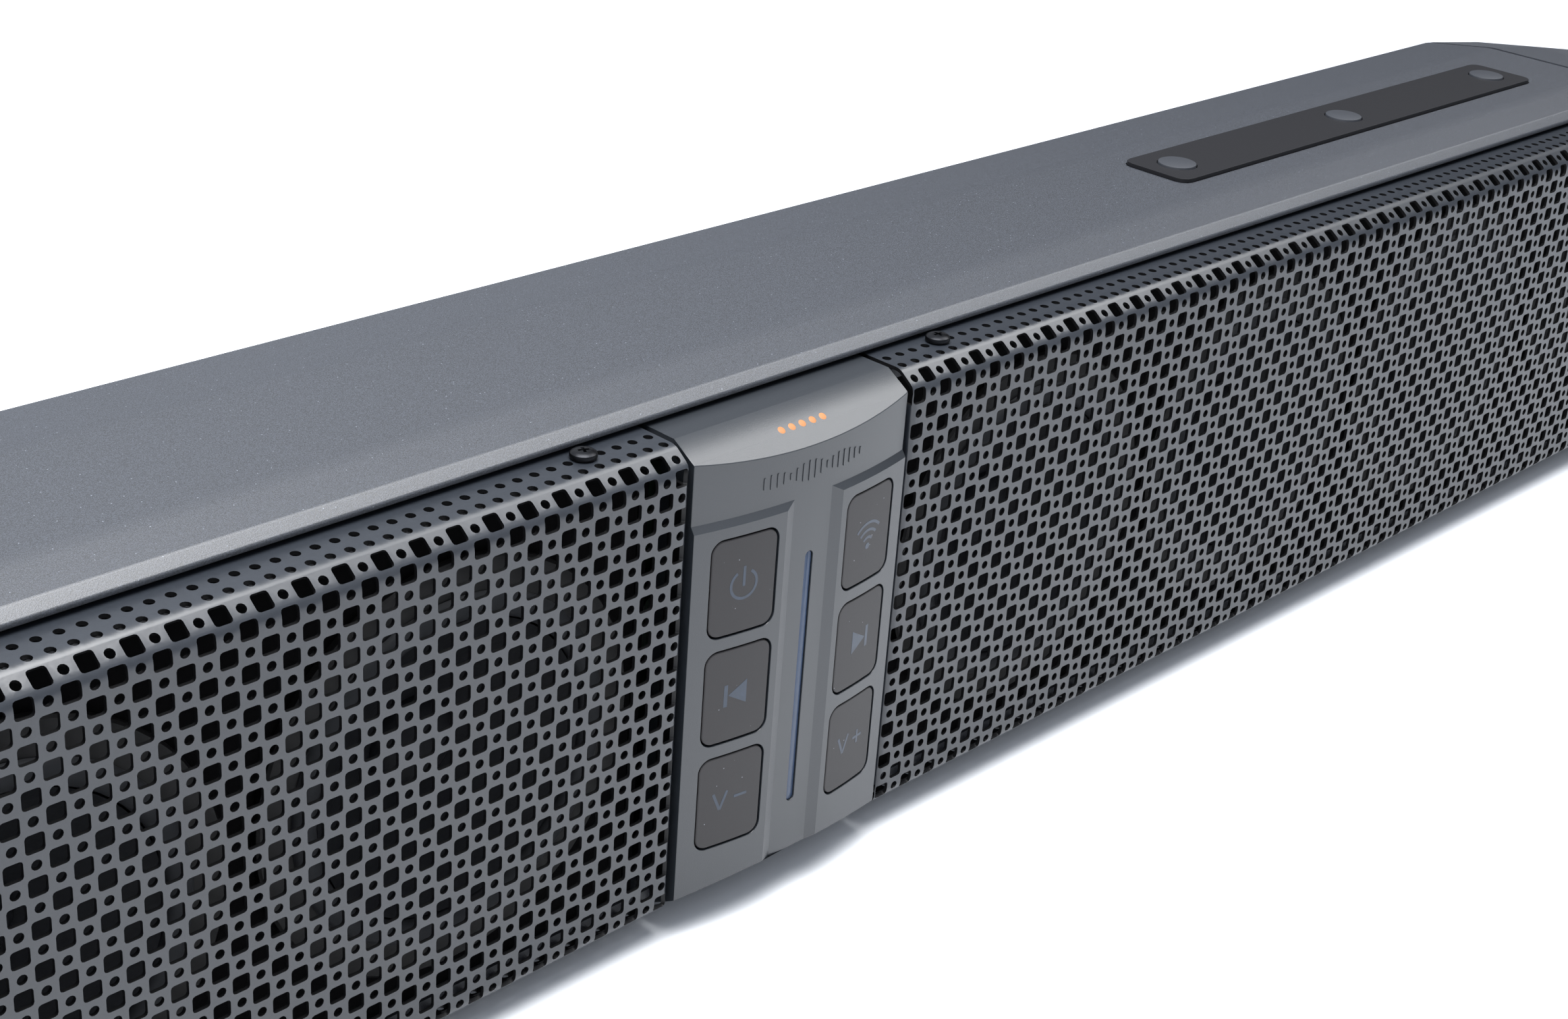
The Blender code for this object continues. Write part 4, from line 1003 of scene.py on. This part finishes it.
bm = bmesh.new()
for i in range(LEVEL_BARS):
    share = i / (LEVEL_BARS - 1)
    swell = 0.45 + 0.55 * math.sin(math.pi * share)
    height = LEVEL_SHORTEST + LEVEL_SWING * abs(math.sin(1.1 + 8.2 * share)) * swell
    x = (i - (LEVEL_BARS - 1) / 2) * LEVEL_PITCH
    outline = rounded(x, LEVEL_MIDDLE, LEVEL_WIDTH, height, LEVEL_END, 3)
    bar = prism(outline, -LEVEL_RISE, LEVEL_ROOT)
    bevel_edges(bar, front_rims(bar), LEVEL_ROUND, 1)
    take_in(bm, bar)
bars = add_piece("embossed_level_bars", bow(bm), panel_abs)

# --- Buttons ------------------------------------------------------------------------------------
# Silicone keys, a touch warmer than the panel, sit nearly flush in their openings. Each has a
# milky sign let into its face, which lights from behind.
KEY_DROP = 0.10 * MM
KEY_ROUND = 0.30 * MM
KEY_DEPTH = 3.6 * MM
SIGN_LINE = 0.62 * MM
SIGN_DEPTH = 0.3 * MM
DUST_GAP = 2.6 * MM

# Moulded silicone: a warm, soft-looking black that holds a few pale specks of dust.
key_rubber, tree, shader = new_material(
    "silicone_key", "#1B1819", 0.5, Specular_IOR_Level=0.45
)
place = add_node(tree, "ShaderNodeTexCoord").outputs["Object"]
skin = add_node(tree, "ShaderNodeTexNoise", Vector=place, Scale=1 / (0.3 * MM), Detail=3.0)
dust = add_node(tree, "ShaderNodeTexVoronoi", Vector=place, Scale=1 / DUST_GAP)
speck = add_node(
    tree,
    "ShaderNodeMapRange",
    Value=dust.outputs["Distance"],
    From_Min=0.035,
    From_Max=0.06,
    To_Min=0.75,
    To_Max=0.0,
)
tone = add_node(
    tree,
    "ShaderNodeMixRGB",
    Fac=skin.outputs["Fac"],
    Color1=linear("#171415"),
    Color2=linear("#1E1B1C"),
)
dusty = add_node(
    tree,
    "ShaderNodeMixRGB",
    Fac=speck.outputs["Result"],
    Color1=tone.outputs["Color"],
    Color2=linear("#8A8D94"),
)
tree.links.new(dusty.outputs["Color"], shader.inputs["Base Color"])
bump = add_node(
    tree, "ShaderNodeBump", Strength=0.3, Distance=0.03 * MM, Height=skin.outputs["Fac"]
)
tree.links.new(bump.outputs["Normal"], shader.inputs["Normal"])

# Milky silicone, unlit: a dim slate blue with a cloudy body, which is read against the key only
# by its cooler tone.
sign_guide, tree, shader = new_material("milky_key_sign", "#1F2A38", 0.35)
skin_over(tree, shader, 1.5 * MM, 2.0, ("#1B2531", "#263446"))


def ring_part(x, z, radius, width, start, end, steps=28):
    """A band of a ring between two angles."""
    outer = arc_points(x, z, radius + width / 2, start, end, steps)
    inner = arc_points(x, z, radius - width / 2, end, start, steps)
    return outer + inner


def stroke(x0, z0, x1, z1, width):
    """A straight bar between two points."""
    along = Vector((x1 - x0, z1 - z0)).normalized() * width / 2
    side = Vector((-along.y, along.x))
    start, end = Vector((x0, z0)), Vector((x1, z1))
    return [tuple(point) for point in (start - side, end - side, end + side, start + side)]


def signs(name, x, z):
    """The outlines of one key's sign, in millimetres about the key's middle: a power sign,
    wireless arcs over a dot, a bar and an arrowhead, or V with a minus or a plus."""

    def line(x0, z0, x1, z1, width=SIGN_LINE):
        return stroke(x + x0 * MM, z + z0 * MM, x + x1 * MM, z + z1 * MM, width)

    if name == "power_button":
        return [ring_part(x, z, 3.1 * MM, SIGN_LINE, 122, 418), line(0, -0.4, 0, 4.0)]
    if name == "wireless_button":
        foot = z - 2.6 * MM
        arcs = [ring_part(x, foot, r * MM, SIGN_LINE, 45, 135, 14) for r in (2.0, 3.7, 5.4)]
        return [*arcs, arc_points(x, foot, 0.7 * MM, 0, 337.5, 15)]
    if name in ("previous_button", "next_button"):
        way = -1 if name == "previous_button" else 1
        tip, back, spread = x + way * 2.1 * MM, x - way * 2.4 * MM, 2.7 * MM
        bar = line(way * 2.7, -2.5, way * 2.7, 2.5, 0.9 * MM)
        return [bar, [(tip, z), (back, z + spread), (back, z - spread)]]
    marks = [line(-4.2, 2.0, -2.5, -2.1), line(-2.5, -2.1, -0.8, 2.0), line(1.0, 0, 4.2, 0)]
    if name == "volume_up_button":
        marks.append(line(2.6, -1.6, 2.6, 1.6))
    return marks


for name, (x, z, width, height) in BUTTONS.items():
    face = -PAD_RISE + KEY_DROP
    bm = prism(rounded(x, z, width, height, BUTTON_CORNER), face, KEY_DEPTH)
    bmesh.ops.recalc_face_normals(bm, faces=bm.faces)
    bevel_edges(bm, front_rims(bm), KEY_ROUND, 4)
    key = add_piece(f"{name}_key", bow(bm), key_rubber, name, sharp=30)
    weigh(key)
    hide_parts(name)
    whole = bmesh.new()
    for number, outline in enumerate(signs(name, x, z)):
        proud = (0.02 + 0.004 * number) * MM  # marks that overlap don't share a face
        take_in(whole, prism(outline, face - proud, face + SIGN_DEPTH))
    sign = add_piece(f"{name}_sign", bow(whole), sign_guide, name)

# --- Lights -------------------------------------------------------------------------------------
# A slim milky light guide runs down the middle of the panel, and five small amber guides come
# out flush in a row on the upper chamfer.
GUIDE_DROP = 0.25 * MM
STATUS_RADIUS = 0.85 * MM
STATUS_PITCH = 2.9 * MM
STATUS_COUNT = 5
STATUS_DEPTH = 2.5 * MM
STRIP_BACK = 2.3 * MM
STRIP_ROUND = 0.35 * MM

# Milky acrylic, unlit: smooth and glossy, with a deep slate blue body under the gloss.
strip_guide, tree, shader = new_material(
    "milky_light_guide", "#26344A", 0.25, Specular_IOR_Level=0.4
)
skin_over(tree, shader, 3 * MM, 2.0, ("#233147", "#304058"))
outline = rounded(0, STRIP_Z, STRIP_WIDTH, STRIP_HEIGHT, STRIP_WIDTH / NEARLY_TWO)
bm = prism(outline, GUIDE_DROP, STRIP_BACK)
bevel_edges(bm, front_rims(bm), STRIP_ROUND)
strip = add_piece("light_strip_guide", bow(bm), strip_guide)
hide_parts("light_strip")

# Amber acrylic lit from behind: a pale orange that glows faintly, with no hard highlight.
amber_guide, tree, shader = new_material(
    "amber_light_guide", "#8A5A32", 0.5, Specular_IOR_Level=0.3, Emission_Strength=0.16
)
skin_over(tree, shader, 1.2 * MM, 2.0, ("#84542D", "#946238"))
shader.inputs["Emission Color"].default_value = linear("#FFC39A")
slope = math.atan2(CHAMFER_RISE, CHAMFER_RUN)
whole = bmesh.new()
for i in range(STATUS_COUNT):
    x = (i - (STATUS_COUNT - 1) / 2) * STATUS_PITCH
    dot = spin_profile(
        [
            (0, -STATUS_DEPTH),
            (STATUS_RADIUS, -STATUS_DEPTH),
            (STATUS_RADIUS, 0),
            (STATUS_RADIUS * 0.9, 0.04 * MM),
            (0, 0.06 * MM),
        ],
        24,
    )
    y = FRONT + CHAMFER_RUN * 0.25
    z = MIDDLE + PANEL_TOP - CHAMFER_RISE * 0.75
    take_in(whole, move(dot, (x, y, z), Matrix.Rotation(slope, 4, "X")))
status = add_piece("status_light_guides", whole, amber_guide)
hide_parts("status_lights")

# --- Woofers and tweeters -----------------------------------------------------------------------
# Six 3.5 inch drivers and two tweeters sit on two black baffles behind the grilles. A pressed
# basket holds the ferrite magnet, and a rubber half roll carries the coated paper cone.
BASKET_RING = 9.0 * MM
ROLL = 5.0 * MM
ROLL_HEIGHT = 1.7 * MM
ROLL_WALL = 0.5 * MM
COIL = 9.5 * MM  # the voice coil's radius
COIL_GAP = 1.2 * MM
SEAT = 3.8 * MM  # from the ring's front to its mounting face
RING_FRONT = 2.0 * MM
RING_WALL = 4.5 * MM
MAGNET = 24.0 * MM
MAGNET_FRONT = 15.0 * MM  # from the magnet's back
POLE_FRONT = 3.0 * MM
CONE_DEPTH = 13.0 * MM
CONE_WALL = 1.2 * MM
CAP_HEIGHT = 4.3 * MM
COIL_WALL = 0.8 * MM
DRIVER_STEPS = 64

# Paper pulp with a black coat, matt and slightly fibrous, and painted darker still as shade, so
# it stays dark behind the holes.
black_pulp_and_shade, tree, shader = new_material(
    "black_pulp_and_painted_shade", "#0B0B0D", 0.6, Specular_IOR_Level=0.2
)
skin_over(tree, shader, 1.2 * MM, 4.0, ("#0A0B0E", "#16181D"), 0.5, 0.1 * MM)

# Pressed steel with a thin black coat: nearly black, with a faint sheen on its ring.
basket_steel, tree, shader = new_material(
    "black_pressed_steel", "#050506", 0.45, Specular_IOR_Level=0.3
)
skin_over(tree, shader, 1.0 * MM, 2.0, strength=0.3, depth=0.05 * MM)

TO_FRONT = Matrix.Rotation(math.radians(90), 4, "X")
for node in sorted(name for name in NODES if name.startswith("woofer_body")):
    low, high = corners(node)
    radius = (high.z - low.z) / 2
    inner = radius - BASKET_RING
    seat = low.y + SEAT
    centre = ((low.x + high.x) / 2, seat, (low.z + high.z) / 2)
    depth = high.y - seat
    basket = [
        (COIL + COIL_GAP, 16.4 * MM - depth),
        (MAGNET - 1.4 * MM, 16.4 * MM - depth),
        (inner, -6.0 * MM),
        (inner, RING_FRONT - 0.8 * MM),
        (inner + 0.6 * MM, RING_FRONT),
        (radius - 0.5 * MM, RING_FRONT),
        (radius, RING_FRONT - 0.5 * MM),
        (radius, 0),
        (radius - RING_WALL, 0),
        (radius - RING_WALL, -6.0 * MM),
        (MAGNET, MAGNET_FRONT - depth),
        (MAGNET, -depth),
        (0, -depth),
        (0, POLE_FRONT - depth),
        (COIL + COIL_GAP, POLE_FRONT - depth),
    ]
    bm = spin_profile([*basket, basket[0]], DRIVER_STEPS)
    body = add_piece(f"{node}_basket", move(bm, centre, TO_FRONT), basket_steel)
    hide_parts(node)
    outer = inner + 0.4 * ROLL
    middle = outer - ROLL / 2
    arch = []
    for i in range(11):
        angle = math.pi * i / 10
        height = RING_FRONT + 0.1 * MM + ROLL_HEIGHT * math.sin(angle)
        arch.append((middle + ROLL / 2 * math.cos(angle), height))
    under = [(r, z - ROLL_WALL) for r, z in reversed(arch)]
    bm = spin_profile([*arch, *under, arch[0]], DRIVER_STEPS)
    roll = add_piece(node.replace("body", "surround"), move(bm, centre, TO_FRONT), seal_rubber)

for node in sorted(name for name in NODES if name.startswith("woofer_cone")):
    low, high = corners(node)
    radius = (high.z - low.z) / 2
    centre = ((low.x + high.x) / 2, low.y, (low.z + high.z) / 2)
    flare = []
    for t in (0, 0.25, 0.5, 0.75, 1.0):
        flare.append((COIL + (radius - COIL) * t, CONE_DEPTH * t**0.85 - CONE_DEPTH))
    cap = []
    for angle in (0, 0.3, 0.6, 0.9, 1.2):
        cap.append((COIL * math.sin(angle), CAP_HEIGHT * math.cos(angle) - CONE_DEPTH))
    back = [(r, z - CONE_WALL) for r, z in reversed(flare)]
    tail = low.y - high.y
    tube = [(COIL, tail), (COIL - COIL_WALL, tail), (COIL - COIL_WALL, -CONE_DEPTH)]
    under_cap = (0, CAP_HEIGHT - 1.6 * MM - CONE_DEPTH)
    bm = spin_profile([*cap, *flare, *back, *tube, under_cap], DRIVER_STEPS)
    cone = add_piece(f"{node}_pulp", move(bm, centre, TO_FRONT), black_pulp_and_shade, node)
    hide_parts(node)

DOME_RADIUS = 11 * MM
DOME_TOP = 4.95 * MM
DOME_STEP = 0.157  # ten of these make a quarter turn
TWEETER_CAN = 17 * MM
for side in ("left", "right"):
    node = f"tweeter_{side}"
    low, high = corners(node)
    radius = (high.z - low.z) / 2
    seat = low.y + DOME_TOP
    centre = ((low.x + high.x) / 2, seat, (low.z + high.z) / 2)
    dome = []
    for i in range(11):
        angle = DOME_STEP * i
        dome.append((DOME_RADIUS * math.sin(angle), DOME_TOP * math.cos(angle)))
    profile = [
        *dome,
        (DOME_RADIUS + 1.2 * MM, 0.0),
        (TWEETER_CAN, RING_FRONT),
        (radius - 0.6 * MM, RING_FRONT),
        (radius, RING_FRONT - 0.6 * MM),
        (radius, 0),
        (TWEETER_CAN, 0),
        (TWEETER_CAN, seat - high.y),
        (0, seat - high.y),
    ]
    bm = move(spin_profile(profile, DRIVER_STEPS), centre, TO_FRONT)
    body = add_piece(f"{node}_dome", bm, basket_steel)
    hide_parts(node)

# --- Baffles and electronics --------------------------------------------------------------------
# Black fibreboard baffles, bulkheads and end plates shut the speakers' chambers off from the bay
# of the amplifier, whose boards, keypad sheet and finned heat sink stand behind the panel.

# Moulded with glass fibre and dull black, and painted darker still as shade inside the bar, so
# that nothing shows behind the perforation.
chamber_black_and_shade, tree, shader = new_material(
    "black_abs_and_painted_shade", "#020203", 0.85, Specular_IOR_Level=0.1
)
skin_over(tree, shader, 0.8 * MM, 2.0, strength=0.4, depth=0.05 * MM)
finish_nodes(
    chamber_black_and_shade,
    "baffle_left",
    "baffle_right",
    "bulkhead_left",
    "bulkhead_right",
    "end_plate_left",
    "end_plate_right",
)

# Solder mask on a circuit board: a glossy green, lighter where copper runs under it.
TRACK_PITCH = 8 * MM
solder_mask, tree, shader = new_material("green_solder_mask", "#0F3B24", 0.35)
place = add_node(tree, "ShaderNodeTexCoord").outputs["Object"]
tracks = add_node(tree, "ShaderNodeTexBrick", Vector=place, Scale=1 / TRACK_PITCH)
tone = add_node(
    tree,
    "ShaderNodeMixRGB",
    Fac=tracks.outputs["Fac"],
    Color1=linear("#0F3B24"),
    Color2=linear("#1A5233"),
)
tree.links.new(tone.outputs["Color"], shader.inputs["Base Color"])
finish_nodes(solder_mask, "control_board", "amplifier_board")
finish_nodes(seal_rubber, "keypad_membrane")

# Bare extruded aluminium: bright, with its gloss drawn out along the fins by the die's lines.
DIE_LINE = 0.4 * MM
plain_aluminium, tree, shader = new_material("extruded_aluminium", "#A9ABAF", 0.38, Metallic=1.0)
place = add_node(tree, "ShaderNodeTexCoord").outputs["Object"]
stretch = add_node(tree, "ShaderNodeMapping", Vector=place, Scale=(1.0, 1.0, 0.04))
drawn = stretch.outputs["Vector"]
lines = add_node(tree, "ShaderNodeTexNoise", Vector=drawn, Scale=1 / DIE_LINE)
gloss = add_node(tree, "ShaderNodeMapRange", Value=lines.outputs["Fac"], To_Min=0.28, To_Max=0.48)
tree.links.new(gloss.outputs["Result"], shader.inputs["Roughness"])
finish_nodes(plain_aluminium, "heatsink")

# --- Connectors ---------------------------------------------------------------------------------
# Two round panel connectors on the back, one for power and one for signal. A ribbed rubber-faced
# dust cap is screwed on each.
RIBS = 18
RIB_DEPTH = 0.45 * MM
SEAL = 0.3 * MM  # a thin ring of sealant lifts the collar off the wall
COLLAR = 2.5 * MM
CAP_START = 3.5 * MM

# Nylon with glass fibre: a plain black with a soft gloss, a little rough from the fibres.
connector_nylon, tree, shader = new_material("glass_filled_nylon", "#17181A", 0.45)
skin_over(tree, shader, 0.4 * MM, 2.0, strength=0.4, depth=0.04 * MM)
TO_BACK = Matrix.Rotation(math.radians(-90), 4, "X")
for node in ("power_connector", "signal_connector"):
    low, high = corners(node)
    wall = BAR_HIGH.y
    centre = ((low.x + high.x) / 2, wall, (low.z + high.z) / 2)
    radius = (high.x - low.x) / 2
    end = high.y - wall
    inside = low.y - wall
    cap = radius * 0.74
    thread = radius * 0.6
    profile = [
        (0, inside),
        (thread, inside),
        (thread, SEAL),
        (radius, SEAL),
        (radius, COLLAR - 0.5 * MM),
        (radius - 0.5 * MM, COLLAR),
        (cap - 0.6 * MM, COLLAR),
        (cap - 0.6 * MM, COLLAR + 0.6 * MM),
        (cap, CAP_START),
        (cap, end - 1.0 * MM),
        (cap - 0.9 * MM, end - 0.1 * MM),
        (cap - 2.2 * MM, end - 0.1 * MM),
        (cap - 2.6 * MM, end - 0.7 * MM),
        (0, end - 0.7 * MM),
    ]
    bm = spin_profile(profile, RIBS * 6)
    for v in bm.verts:
        away = math.hypot(v.co.x, v.co.y)
        if abs(away - cap) < 0.05 * MM and v.co.z > CAP_START - 0.2 * MM:
            angle = math.atan2(v.co.y, v.co.x)
            dip = RIB_DEPTH * max(0.0, math.cos(angle * RIBS)) ** 2
            v.co.x *= (away - dip) / away
            v.co.y *= (away - dip) / away
    bm = move(bm, centre, TO_BACK)
    connector = add_piece(f"{node}_capped", bm, connector_nylon, sharp=25)
    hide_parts(node)
